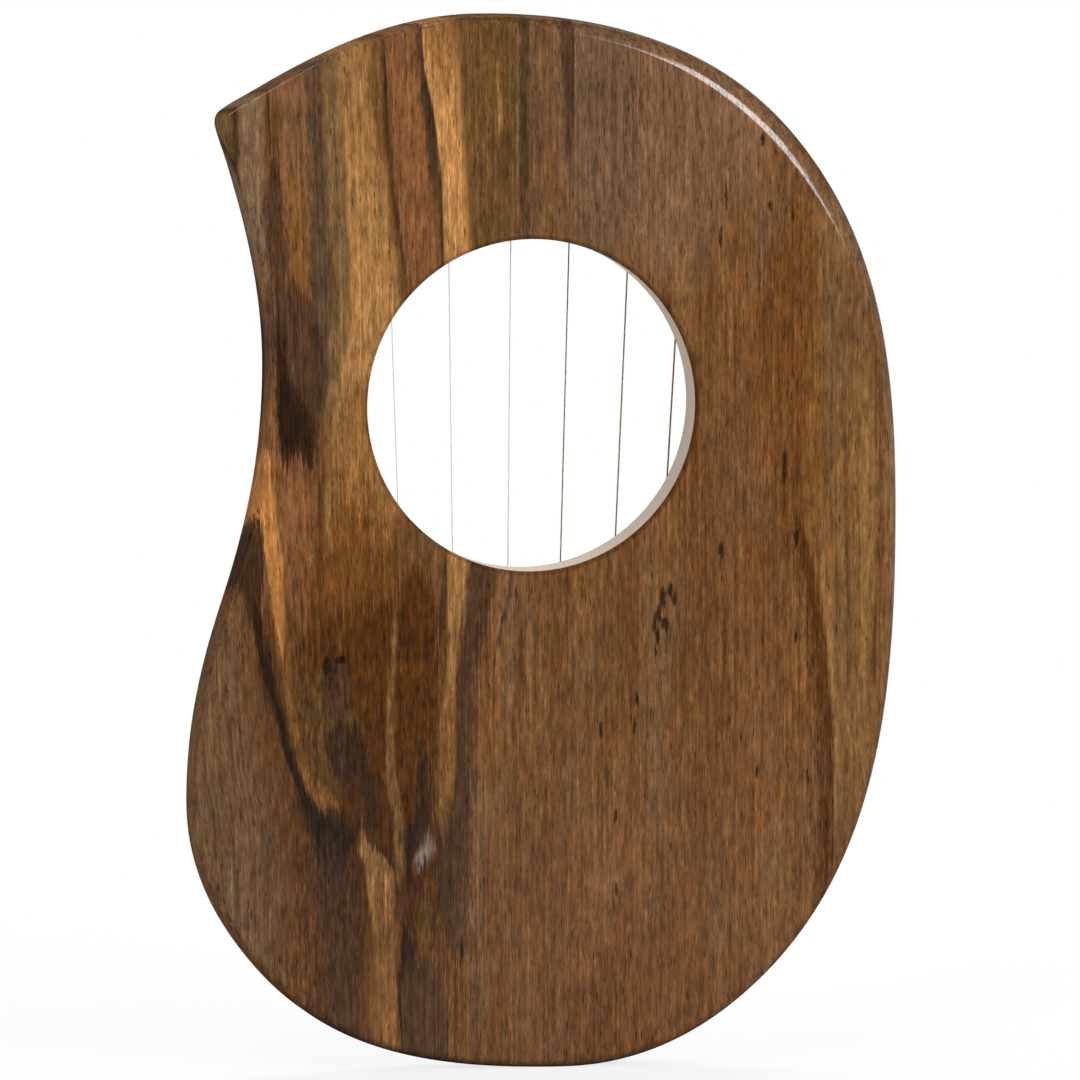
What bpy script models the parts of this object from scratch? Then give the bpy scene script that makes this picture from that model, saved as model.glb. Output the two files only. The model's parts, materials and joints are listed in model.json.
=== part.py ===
"""Small harp: a one-piece walnut plate with a round hole, six strings, their pins, a nut and a bridge.

Sizes are in millimetres and are scaled to metres when a mesh is made. The origin is the centre of the
round hole in the plate's back plane. +X is to the right seen from the back, +Y runs from the back to the
string side and +Z is up. Plan positions are (x, z) pairs. Strings are counted from the highest, on the
-X side, to the lowest.
"""

import math

import bmesh
import bpy
import numpy as np
from mathutils import Vector
from mathutils.geometry import interpolate_bezier

MM = 0.001

# Plate: every outline size is measured from the rim of the hole or from another edge
HOLE_D = 110.0
THICKNESS = 18.0
HEAD = 73.9  # hole's rim to the top of the arch
TAIL = 165.2  # hole's rim to the bottom
LOW_CHEEK = 68.3  # hole's rim to the outermost edge beside the low strings
GRIP = 32.8  # hole's rim to the waist beside the high strings
WAIST_HEIGHT = 14.2  # deepest point of the waist, above the hole's centre
FLANK_DROP = 78.8  # where the waist's hollow turns into the bulge, below that point
FLANK_OUT = 13.8  # how far the edge has opened out there
BULGE = 25.6  # how far the lower bulge stands out past the waist
BULGE_HEIGHT = 89.5  # bulge's outermost point, above the bottom
TIP_REACH = 16.8  # how far the pointed corner stands out past the waist
TIP_DROP = 32.5  # pointed corner below the top of the arch
TOP_OFFSET = -15.3  # top of the arch, from the hole's centre line
BOTTOM_OFFSET = 10.9  # lowest point, from the same line
CHEEK_DROP = 35.6  # outermost edge of the low side, below the hole's centre
SHOULDER_IN = 34.4  # upper right shoulder, in from the low side and down from the top
SHOULDER_DOWN = 40.2
HIP_IN = 48.4  # lower right curve, in from the low side and up from the bottom
HIP_UP = 25.6
HEEL_IN = 25.3  # lower left curve, in from the bulge and up from the bottom
HEEL_UP = 31.3
SHOULDER_HEADING = -49.6  # which way the outline runs there, going clockwise, in degrees up from +X
HIP_HEADING = 221.7
HEEL_HEADING = 132.6
FLANK_HEADING = 71.5
HANDLE = 0.357  # curve handle as a part of the stretch between two outline points
TIP_HANDLE = 0.5
CURVE_POINTS = 60  # fine points read from each stretch
OUTLINE_STEP = 9.5  # distance between outline points

# Edges: the back edge is rounded wider at the upper right, where the forearm rests, and least at the
# pointed corner
EDGE_ROUND = 3.0
ARM_ROUND = 8.0
ARM_FACING = 45.0  # degrees up from +X
ARM_SPREAD = 35.0
TIP_ROUND = 1.2
TIP_FACING = 130.0
TIP_SPREAD = 28.0
FRONT_ROUND = 3.0
HOLE_ROUND = 1.5
TIP_MARGIN = 2.0  # the pointed corner's radius is this much over the edge rounding
TIP_STEPS = 4
BACK_STEPS = 4
FRONT_STEPS = 3
RIM_STEPS = 2
HOLE_SIDES = 64

# Gaps between separate solids
GAP = 0.3
COIL_GAP = 0.45  # between the turns of one string
TWIST_GAP = 0.55  # between a string and its own twisted end
COIL_LEAD = 0.45  # extra climb of the first turn, clear of the string coming in

# Strings
STRING_D = (0.33, 0.36, 0.40, 0.55, 0.62, 0.70)
STRING_STEPS = (-2.5, -1.48, -0.42, 0.58, 1.6, 2.5)  # places in spacings from the middle, set by hand
SPACING_AT_NUT = 20.0
SPACING_AT_BRIDGE = 16.2
NUT_CENTRE_X = 6.6
BRIDGE_CENTRE_X = 3.0
FIRST_WOUND = 3  # strings from this index on are wound with bronze

# Nut and bridge: hardwood strips with a brass rod along the crown
NUT_RISE = 13.0  # hole's rim to the nut's centre line
BRIDGE_DROP = 76.0  # hole's rim to the bridge's centre
BRIDGE_SLANT = 22.0
STRIP_WIDTH = 10.0
STRIP_HEIGHT = 7.0
STRIP_SHOULDER = 1.8
SHOULDER_CUT = 0.3  # middle of the shoulder's rounding, as a part of the shoulder
STRIP_OVERHANG = 9.0  # past the outer strings
STRIP_END = 5.0  # solid wood past the rod's ends
END_WIDTH = 0.55  # a strip's section at its end, as a part of the full section
MID_END_WIDTH = 0.92  # and halfway along the shaped end
ROD_D = 3.0
ROD_SUNK = 1.6  # depth of the groove below the strip's crown
ROD_BREAK = 0.3  # chamfer at the rod's ends
ROD_SIDES = 12
GROOVE_STEPS = 6

# Tuning pins
PIN_D = 5.0
PIN_FLOOR = 3.5  # wood left between the pin's lower end and the back
PIN_INSET = 18.0  # from the head's edge
PIN_PLACING = 0.001  # how closely that distance is met
PIN_SIDES = 16
EYE_HEIGHT = 8.5  # above the string face
EYE_D = 1.8
EYE_SIDES = 10
HEAD_START = 11.0
HEAD_LENGTH = 12.0
HEAD_FLAT = 4.1  # across the square's flats
HEAD_TAPER = 0.3
PIN_CHAMFER = 0.7
TURNS = 3.25

# Hitch pins
HITCH_D = 2.5
HITCH_FLOOR = 6.0  # wood left below its point
HITCH_RUN = 24.0  # from the bridge along the string
HITCH_POINT_D = 1.25  # at the driven end
HITCH_HEAD_D = 4.4
HITCH_HEAD_HEIGHT = 1.6
HITCH_LIP = 0.2  # rise of the head's underside from the shank to the rim
HITCH_STAND = 5.4  # underside of the head above the string face
HITCH_SIDES = 12
DOME_STEPS = 3
DOME_TURN = 68.0  # degrees of the dome above its rim, below the small flat on top
LOOP_HEIGHT = 3.2  # string loop above the string face

# String ends
COIL_POINTS = 14
EYE_ENTRY = ((25.0, 0.02), (10.0, 0.25), (0.0, 0.9))  # degrees before the eye, and how far inward
TWIST_START = 7.5  # first turn of the twisted end, from the hitch pin
TWIST_LEAD = 1.5  # straight lead into that turn, in steps between neighbouring wires
TWIST_TURNS = 2.5
TWIST_POINTS = 8
LOOP_STEPS = 9
CROWN_STEPS = 3
STUB = 1.2  # string end left past the eye
GAP_STEP = 0.2  # spacing of the points that the gap between stretches is measured on
GAP_NEIGHBOURS = 4.0  # diameters along the string that count as one stretch

RIM = HOLE_D / 2
ROD_CENTRE = STRIP_HEIGHT - ROD_SUNK + GAP + ROD_D / 2
CROWN = ROD_CENTRE + ROD_D / 2
PIN_DEPTH = THICKNESS - PIN_FLOOR
HITCH_DEPTH = THICKNESS - HITCH_FLOOR
BORE_D = PIN_D + 2 * GAP
HITCH_BORE_D = HITCH_D + 2 * GAP
SMOOTH_ANGLE = math.radians(35)


def clear_scene():
    for old in list(bpy.data.objects):
        bpy.data.objects.remove(old, do_unlink=True)


def material(name, colour, roughness, metallic):
    found = bpy.data.materials.new(name)
    found.use_nodes = True
    shader = found.node_tree.nodes["Principled BSDF"]
    shader.inputs["Base Color"].default_value = (*colour, 1.0)
    shader.inputs["Roughness"].default_value = roughness
    shader.inputs["Metallic"].default_value = metallic
    return found


def make_object(name, data, place, look):
    """Adds an object whose origin is at the given place, in millimetres."""
    made = bpy.data.objects.new(name, data)
    made.location = Vector(place) * MM
    made.data.materials.append(look)
    bpy.context.collection.objects.link(made)
    return made


def mesh_object(name, bm, place, look):
    """Closes a mesh drawn in millimetres, turns its faces outward and adds it."""
    bmesh.ops.triangulate(bm, faces=[face for face in bm.faces if len(face.verts) > 4])
    bmesh.ops.recalc_face_normals(bm, faces=bm.faces)
    bmesh.ops.scale(bm, vec=(MM, MM, MM), verts=bm.verts)
    mesh = bpy.data.meshes.new(name)
    bm.to_mesh(mesh)
    bm.free()
    mesh.shade_smooth()
    mesh.set_sharp_from_angle(angle=SMOOTH_ANGLE)
    return make_object(name, mesh, place, look)


def skin(bm, rings):
    """Joins neighbouring closed rings of corners with quads."""
    for lower, upper in zip(rings, rings[1:]):
        count = len(lower)
        for k in range(count):
            after = (k + 1) % count
            bm.faces.new((lower[k], lower[after], upper[after], upper[k]))


def loft(rings):
    """A closed body through rings of points, capped at both ends."""
    bm = bmesh.new()
    made = [[bm.verts.new(point) for point in ring] for ring in rings]
    skin(bm, made)
    bm.faces.new(made[0])
    bm.faces.new(made[-1])
    return bm


def circle(radius, height, sides, centre=(0.0, 0.0)):
    """A ring around an axis along Y."""
    ring = []
    for k in range(sides):
        turn = 2 * math.pi * k / sides
        x = centre[0] + radius * math.cos(turn)
        z = centre[1] + radius * math.sin(turn)
        ring.append(Vector((x, height, z)))
    return ring


def heading(degrees):
    return Vector((math.cos(math.radians(degrees)), math.sin(math.radians(degrees))))


def outline_corners():
    """The outline's points, clockwise from the pointed corner, and which way it runs through each."""
    top = RIM + HEAD
    bottom = -RIM - TAIL
    right = RIM + LOW_CHEEK
    waist = -RIM - GRIP
    left = waist - BULGE
    return [
        (Vector((waist - TIP_REACH, top - TIP_DROP)), None),
        (Vector((TOP_OFFSET, top)), heading(0)),
        (Vector((right - SHOULDER_IN, top - SHOULDER_DOWN)), heading(SHOULDER_HEADING)),
        (Vector((right, -CHEEK_DROP)), heading(-90)),
        (Vector((right - HIP_IN, bottom + HIP_UP)), heading(HIP_HEADING)),
        (Vector((BOTTOM_OFFSET, bottom)), heading(180)),
        (Vector((left + HEEL_IN, bottom + HEEL_UP)), heading(HEEL_HEADING)),
        (Vector((left, bottom + BULGE_HEIGHT)), heading(90)),
        (Vector((waist - FLANK_OUT, WAIST_HEIGHT - FLANK_DROP)), heading(FLANK_HEADING)),
        (Vector((waist, WAIST_HEIGHT)), heading(90)),
    ]


def outline_curve():
    """Fine points along the outline, with the pointed corner still sharp at both ends."""
    corners = outline_corners()
    points = []
    for (start, leaving), (end, arriving) in zip(corners, corners[1:] + corners[:1]):
        reach = (end - start).length * HANDLE
        if leaving is None:
            arrive = end - arriving * reach
            leave = start.lerp(arrive, TIP_HANDLE)
        elif arriving is None:
            leave = start + leaving * reach
            arrive = end.lerp(leave, TIP_HANDLE)
        else:
            leave = start + leaving * reach
            arrive = end - arriving * reach
        stretch = interpolate_bezier(start, leave, arrive, end, CURVE_POINTS)
        points.extend(Vector((p[0], p[1])) for p in stretch[:-1])
    points.append(corners[0][0].copy())
    return points


def plate_outline():
    """Even points round the plate with the pointed corner rounded, and the outward normal at each."""
    fine = outline_curve()
    tip = fine[0]
    radius = EDGE_ROUND + TIP_MARGIN
    leave = (fine[1] - tip).normalized()
    arrive = (fine[-2] - tip).normalized()
    half = leave.angle(arrive) / 2
    trim = radius / math.tan(half)
    runs = [0.0]
    for a, b in zip(fine, fine[1:]):
        runs.append(runs[-1] + (b - a).length)
    first, last = trim, runs[-1] - trim
    count = round((last - first) / OUTLINE_STEP)
    points, k = [], 0
    for n in range(count + 1):
        wanted = first + (last - first) * n / count
        while runs[k + 1] < wanted:
            k += 1
        points.append(fine[k].lerp(fine[k + 1], (wanted - runs[k]) / (runs[k + 1] - runs[k])))
    centre = tip + (leave + arrive).normalized() * radius / math.sin(half)
    start, end = points[-1] - centre, points[0] - centre
    turn = start.angle(end)
    for n in range(1, TIP_STEPS):
        share = n / TIP_STEPS
        blend = start * math.sin(turn * (1 - share)) + end * math.sin(turn * share)
        points.append(centre + blend / math.sin(turn))
    normals = []
    for k in range(len(points)):
        along = points[(k + 1) % len(points)] - points[k - 1]
        normals.append(Vector((-along.y, along.x)).normalized())
    return points, normals


def back_rounding(normal):
    """Radius of the back edge for an edge that faces this way."""
    facing = math.degrees(math.atan2(normal.y, normal.x))
    arm = math.exp(-(((facing - ARM_FACING) / ARM_SPREAD) ** 2))
    off_tip = (facing - TIP_FACING + 180) % 360 - 180
    tip = math.exp(-((off_tip / TIP_SPREAD) ** 2))
    return EDGE_ROUND + (ARM_ROUND - EDGE_ROUND) * arm + (TIP_ROUND - EDGE_ROUND) * tip


def fill_flat(bm, rings):
    """Fills the flat area between an outer ring of corners and the rings inside it."""
    edges = []
    for ring in rings:
        for k in range(len(ring)):
            pair = (ring[k - 1], ring[k])
            edges.append(bm.edges.get(pair) or bm.edges.new(pair))
    bmesh.ops.triangle_fill(bm, use_beauty=True, use_dissolve=False, edges=edges)


def edge_angles(steps):
    return [math.pi / 2 * k / steps for k in range(steps + 1)]


def add_bore(bm, centre, diameter, depth, sides):
    """A blind bore from the string face; gives back its mouth."""
    mouth = [bm.verts.new(p) for p in circle(diameter / 2, THICKNESS, sides, centre)]
    floor = [bm.verts.new(p) for p in circle(diameter / 2, THICKNESS - depth, sides, centre)]
    skin(bm, [mouth, floor])
    bm.faces.new(floor)
    return mouth


def build_body(layout, look):
    """The plate: rounded outline, round hole, and blind bores for the pins."""
    points, normals = plate_outline()
    bm = bmesh.new()
    back_rings, front_rings = [], []
    for turn in reversed(edge_angles(BACK_STEPS)):
        ring = []
        for place, normal in zip(points, normals):
            radius = back_rounding(normal)
            moved = place - normal * radius * (1 - math.cos(turn))
            ring.append(bm.verts.new((moved.x, radius * (1 - math.sin(turn)), moved.y)))
        back_rings.append(ring)
    for turn in edge_angles(FRONT_STEPS):
        ring = []
        for place, normal in zip(points, normals):
            moved = place - normal * FRONT_ROUND * (1 - math.cos(turn))
            ring.append(bm.verts.new((moved.x, THICKNESS - FRONT_ROUND * (1 - math.sin(turn)), moved.y)))
        front_rings.append(ring)
    skin(bm, back_rings + front_rings)
    rim_sections = []
    for turn in reversed(edge_angles(RIM_STEPS)):
        radius = RIM + HOLE_ROUND * (1 - math.cos(turn))
        rim_sections.append((radius, HOLE_ROUND * (1 - math.sin(turn))))
    rim_sections += [(radius, THICKNESS - height) for radius, height in reversed(rim_sections)]
    hole_rings = []
    for radius, height in rim_sections:
        hole_rings.append([bm.verts.new(p) for p in circle(radius, height, HOLE_SIDES)])
    skin(bm, hole_rings)
    mouths = []
    for string in layout:
        mouths.append(add_bore(bm, string["pin"], BORE_D, PIN_DEPTH + GAP, PIN_SIDES))
        mouths.append(add_bore(bm, string["hitch"], HITCH_BORE_D, HITCH_DEPTH + GAP, HITCH_SIDES))
    fill_flat(bm, [back_rings[0], hole_rings[0]])
    fill_flat(bm, [front_rings[-1], hole_rings[-1]] + mouths)
    return mesh_object("body", bm, (0, 0, 0), look)


def edge_distance(place, points):
    """Distance from a place inside the plate to its outline."""
    least = math.inf
    for k in range(len(points)):
        start, run = points[k - 1], points[k] - points[k - 1]
        share = max(0.0, min(1.0, (place - start).dot(run) / run.length_squared))
        least = min(least, (start + run * share - place).length)
    return least


def string_layout():
    """Plan positions of every string's bridge and nut crossing, tuning pin and hitch pin."""
    outline, _ = plate_outline()
    slant = math.tan(math.radians(BRIDGE_SLANT))
    layout = []
    for diameter, step in zip(STRING_D, STRING_STEPS):
        nut = Vector((NUT_CENTRE_X + step * SPACING_AT_NUT, RIM + NUT_RISE))
        across = step * SPACING_AT_BRIDGE
        bridge = Vector((BRIDGE_CENTRE_X + across, -RIM - BRIDGE_DROP - across * slant))
        along = (nut - bridge).normalized()
        side = Vector((along.y, -along.x))
        coil = PIN_D / 2 + GAP + diameter / 2
        low, high = 0.0, HEAD
        while high - low > PIN_PLACING:
            run = (low + high) / 2
            if edge_distance(nut + along * run - side * coil, outline) > PIN_INSET:
                low = run
            else:
                high = run
        layout.append(
            {
                "diameter": diameter,
                "nut": nut,
                "bridge": bridge,
                "along": along,
                "side": side,
                "coil": coil,
                "pin": nut + along * low - side * coil,
                "hitch": bridge - along * HITCH_RUN,
            }
        )
    return layout


def strip_section(narrowing, groove):
    """Round-shouldered section of a strip as (across, height) pairs, with the rod's groove in its crown."""
    half = STRIP_WIDTH / 2 * narrowing
    shoulder = STRIP_SHOULDER * narrowing
    radius = ROD_D / 2 + GAP
    drop = radius - ROD_SUNK
    mouth = math.acos(drop / radius) if drop > 0 else math.pi / 2
    side = [(half, GAP), (half, STRIP_HEIGHT - shoulder)]
    side.append((half - shoulder * SHOULDER_CUT, STRIP_HEIGHT - shoulder * SHOULDER_CUT))
    side.append((half - shoulder, STRIP_HEIGHT))
    hollow = []
    for k in range(GROOVE_STEPS + 1):
        turn = mouth * (1 - 2 * k / GROOVE_STEPS)
        depth = (radius * math.cos(turn) - drop) * groove
        hollow.append((radius * math.sin(turn), STRIP_HEIGHT - depth))
    return side + hollow + [(-across, height) for across, height in reversed(side)]


def build_strip(name, centre, slant, length, look):
    """A strip glued on the string face, its groove closed at both ends."""
    turn = math.radians(slant)
    run = Vector((math.cos(turn), 0, -math.sin(turn)))
    across = Vector((math.sin(turn), 0, math.cos(turn)))
    half = length / 2
    grooved = half - STRIP_END
    stations = [
        (-half, END_WIDTH, 0.0),
        (-half + STRIP_END / 2, MID_END_WIDTH, 0.0),
        (-grooved - GAP, 1.0, 0.0),
        (-grooved, 1.0, 1.0),
    ]
    stations += [(-place, narrowing, groove) for place, narrowing, groove in reversed(stations)]
    rings = []
    for place, narrowing, groove in stations:
        section = strip_section(narrowing, groove)
        rings.append([run * place + across * u + Vector((0, height, 0)) for u, height in section])
    return mesh_object(name, loft(rings), (centre.x, THICKNESS, centre.y), look)


def build_rod(name, centre, slant, length, look):
    """The round rod in a strip's groove, with slightly broken ends."""
    turn = math.radians(slant)
    run = Vector((math.cos(turn), 0, -math.sin(turn)))
    across = Vector((math.sin(turn), 0, math.cos(turn)))
    half = length / 2 - STRIP_END - GAP
    radius = ROD_D / 2
    stations = [(-half, radius - ROD_BREAK), (-half + ROD_BREAK, radius)]
    stations += [(-place, size) for place, size in reversed(stations)]
    rings = []
    for place, size in stations:
        ring = []
        for k in range(ROD_SIDES):
            angle = 2 * math.pi * k / ROD_SIDES
            round_rod = across * math.cos(angle) + Vector((0, math.sin(angle), 0))
            ring.append(run * place + round_rod * size)
        rings.append(ring)
    return mesh_object(name, loft(rings), (centre.x, THICKNESS + ROD_CENTRE, centre.y), look)


def square_ring(flat, limit, height):
    """A ring on a square of the given width, its corners cut round at the limit radius."""
    ring = []
    for point in circle(1.0, height, PIN_SIDES):
        reach = min(limit, flat / 2 / max(abs(point.x), abs(point.z)))
        ring.append(Vector((point.x * reach, height, point.z * reach)))
    return ring


def build_tuning_pin(number, string, look):
    """A steel pin: round shank in the plate, cross eye for the string, tapered square head for the key."""
    radius = PIN_D / 2
    head_end = HEAD_START + HEAD_LENGTH
    rings = [
        circle(radius - PIN_CHAMFER, -PIN_DEPTH, PIN_SIDES),
        circle(radius, -PIN_DEPTH + PIN_CHAMFER, PIN_SIDES),
        circle(radius, HEAD_START, PIN_SIDES),
        square_ring(HEAD_FLAT, radius, HEAD_START + PIN_CHAMFER),
        square_ring(HEAD_FLAT - HEAD_TAPER, radius - HEAD_TAPER / 2, head_end - PIN_CHAMFER),
        circle(HEAD_FLAT / 2 - PIN_CHAMFER, head_end, PIN_SIDES),
    ]
    place = (string["pin"].x, THICKNESS, string["pin"].y)
    pin = mesh_object(f"tuning_pin_{number}", loft(rings), place, look)
    along = Vector((string["along"].x, 0, string["along"].y))
    across = Vector((string["side"].x, 0, string["side"].y))
    eye_rings = []
    for reach in (-PIN_D, PIN_D):
        ring = []
        for k in range(EYE_SIDES):
            angle = 2 * math.pi * k / EYE_SIDES
            round_eye = across * math.cos(angle) + Vector((0, math.sin(angle), 0))
            ring.append(along * reach + round_eye * EYE_D / 2 + Vector((0, EYE_HEIGHT, 0)))
        eye_rings.append(ring)
    cutter = mesh_object(f"eye_cutter_{number}", loft(eye_rings), place, look)
    cutter.hide_render = True
    cutter.display_type = "WIRE"
    cut = pin.modifiers.new("eye", "BOOLEAN")
    cut.operation = "DIFFERENCE"
    cut.solver = "EXACT"
    cut.object = cutter
    return pin


def build_hitch_pin(number, string, look):
    """A round-headed pin driven into the plate; the string's loop sits under its head."""
    radius = HITCH_D / 2
    rim = HITCH_STAND + HITCH_LIP
    dome = (HITCH_HEAD_HEIGHT - HITCH_LIP) / math.sin(math.radians(DOME_TURN))
    rings = [
        circle(HITCH_POINT_D / 2, -HITCH_DEPTH, HITCH_SIDES),
        circle(radius, -HITCH_DEPTH + radius, HITCH_SIDES),
        circle(radius, HITCH_STAND, HITCH_SIDES),
    ]
    for k in range(DOME_STEPS + 1):
        turn = math.radians(DOME_TURN * k / DOME_STEPS)
        rings.append(circle(HITCH_HEAD_D / 2 * math.cos(turn), rim + dome * math.sin(turn), HITCH_SIDES))
    place = (string["hitch"].x, THICKNESS, string["hitch"].y)
    return mesh_object(f"hitch_pin_{number}", loft(rings), place, look)


def lift(plan, height):
    """A plan position raised above the string face."""
    return Vector((plan.x, THICKNESS + height, plan.y))


def hitch_end(string):
    """The twisted loop on the hitch pin, from the string's cut end to the standing part."""
    diameter = string["diameter"]
    apart = diameter + TWIST_GAP
    start = lift(string["hitch"], LOOP_HEIGHT)
    rest = lift(string["bridge"], CROWN + GAP + diameter / 2)
    axis = (rest - start).normalized()
    side = Vector((string["side"].x, 0, string["side"].y))
    normal = side.cross(axis)
    local = []
    steps = round(TWIST_TURNS * TWIST_POINTS)
    for k in range(steps, -1, -1):
        turn = math.pi + 2 * math.pi * k / TWIST_POINTS
        run = TWIST_START + apart * k / TWIST_POINTS
        local.append((run, apart * math.cos(turn), apart * math.sin(turn)))
    local.append((TWIST_START - TWIST_LEAD * apart, -apart, 0.0))
    loop = HITCH_D / 2 + GAP + diameter / 2
    touch = math.acos(loop / TWIST_START)
    for k in range(LOOP_STEPS + 1):
        turn = -touch - (2 * math.pi - 2 * touch) * k / LOOP_STEPS
        local.append((loop * math.cos(turn), loop * math.sin(turn), 0.0))
    local.append((TWIST_START, 0.0, 0.0))
    return [start + axis * run + side * across + normal * up for run, across, up in local]


def crown_points(string, crossing, slope_in, slope_out):
    """The bend over a rod, from the slope before it to the slope after it, both counted upward."""
    along = Vector((string["along"].x, 0, string["along"].y))
    reach = ROD_D / 2 + GAP + string["diameter"] / 2
    centre = lift(crossing, ROD_CENTRE)
    points = []
    for k in range(CROWN_STEPS + 1):
        slope = slope_in + (slope_out - slope_in) * k / CROWN_STEPS
        points.append(centre + reach * (Vector((0, math.cos(slope), 0)) - along * math.sin(slope)))
    return points


def coil_height(string, turn):
    """Height of the string on its pin: even turns, then a wider half turn up to the eye."""
    diameter = string["diameter"]
    pitch = diameter + COIL_GAP
    full = 2 * math.pi
    even = full * TURNS - math.pi

    def climb(angle):
        lead = COIL_LEAD * min(angle, full) / full
        return lead + pitch * min(angle, even) / full + pitch * max(0.0, angle - even) / math.pi

    return EYE_HEIGHT - climb(full * TURNS) + climb(turn)


def pin_end(string):
    """The turns on the tuning pin and the end through its eye."""
    along = Vector((string["along"].x, 0, string["along"].y))
    side = Vector((string["side"].x, 0, string["side"].y))
    foot = lift(string["pin"], 0.0)
    coil = string["coil"]
    end = 2 * math.pi * TURNS
    wound = end - math.radians(EYE_ENTRY[0][0])
    steps = round(wound / (2 * math.pi) * COIL_POINTS)
    polar = [(wound * k / steps, coil) for k in range(steps)]
    polar += [(end - math.radians(back), coil - inward) for back, inward in EYE_ENTRY]
    polar.append((end, -PIN_D / 2 - STUB))
    points = []
    for turn, radius in polar:
        arm = side * math.cos(turn) + along * math.sin(turn)
        points.append(foot + arm * radius + Vector((0, coil_height(string, turn), 0)))
    return points


def string_route(string):
    """One unbroken line: twisted loop, bridge, nut, turns on the pin, eye."""
    lower = hitch_end(string)
    upper = pin_end(string)
    before = lift(string["bridge"], CROWN) - lower[-1]
    after = upper[0] - lift(string["nut"], CROWN)
    slope_in = math.atan2(before.y, math.hypot(before.x, before.z))
    slope_out = math.atan2(after.y, math.hypot(after.x, after.z))
    over_bridge = crown_points(string, string["bridge"], slope_in, 0.0)
    over_nut = crown_points(string, string["nut"], 0.0, slope_out)
    return lower + over_bridge + over_nut + upper


def least_gap(points, diameter):
    """Least distance between stretches of one string that aren't neighbours, less its diameter."""
    fine = []
    for a, b in zip(points, points[1:]):
        parts = math.ceil((b - a).length / GAP_STEP)
        fine.extend(a.lerp(b, k / parts) for k in range(parts))
    fine = np.array(fine)
    runs = np.append(0.0, np.cumsum(np.linalg.norm(np.diff(fine, axis=0), axis=1)))
    least = math.inf
    for place, run in zip(fine, runs):
        beyond = fine[runs > run + GAP_NEIGHBOURS * diameter + COIL_GAP]
        if len(beyond):
            least = min(least, np.linalg.norm(beyond - place, axis=1).min())
    return least - diameter


def build_string(number, string, look):
    route = string_route(string)
    curve = bpy.data.curves.new(f"string_{number}", "CURVE")
    curve.dimensions = "3D"
    curve.bevel_depth = string["diameter"] / 2 * MM
    curve.bevel_resolution = 1
    curve.use_fill_caps = True
    spline = curve.splines.new("POLY")
    spline.points.add(len(route) - 1)
    for point, place in zip(spline.points, route):
        point.co = (*(place * MM), 1.0)
    gap = least_gap(route, string["diameter"])
    print(f"string_{number}: least gap to itself {gap:.2f} mm")
    return make_object(f"string_{number}", curve, (0, 0, 0), look)


def main():
    clear_scene()
    walnut = material("walnut", (0.20, 0.095, 0.04), 0.38, 0.0)
    strip_wood = material("strip_wood", (0.085, 0.04, 0.02), 0.42, 0.0)
    brass = material("brass", (0.72, 0.52, 0.24), 0.28, 1.0)
    pin_steel = material("pin_steel", (0.55, 0.56, 0.58), 0.30, 1.0)
    hitch_steel = material("hitch_steel", (0.50, 0.50, 0.51), 0.34, 1.0)
    plain_string = material("plain_string", (0.72, 0.72, 0.73), 0.22, 1.0)
    wound_string = material("wound_string", (0.52, 0.40, 0.22), 0.35, 1.0)
    layout = string_layout()
    build_body(layout, walnut)
    span = STRING_STEPS[-1] - STRING_STEPS[0]
    nut_length = span * SPACING_AT_NUT + 2 * STRIP_OVERHANG
    bridge_length = span * SPACING_AT_BRIDGE / math.cos(math.radians(BRIDGE_SLANT)) + 2 * STRIP_OVERHANG
    nut_centre = Vector((NUT_CENTRE_X, RIM + NUT_RISE))
    bridge_centre = Vector((BRIDGE_CENTRE_X, -RIM - BRIDGE_DROP))
    build_strip("nut", nut_centre, 0.0, nut_length, strip_wood)
    build_rod("nut_rod", nut_centre, 0.0, nut_length, brass)
    build_strip("bridge", bridge_centre, BRIDGE_SLANT, bridge_length, strip_wood)
    build_rod("bridge_rod", bridge_centre, BRIDGE_SLANT, bridge_length, brass)
    for k, string in enumerate(layout):
        build_tuning_pin(k + 1, string, pin_steel)
        build_hitch_pin(k + 1, string, hitch_steel)
        build_string(k + 1, string, wound_string if k >= FIRST_WOUND else plain_string)


main()
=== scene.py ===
"""A small hand harp: a walnut plate with a round hole, six strings on hitch pins and tuning pins."""
import json
import math

import bmesh
import bpy
import numpy as np
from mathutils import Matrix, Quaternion, Vector


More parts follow.
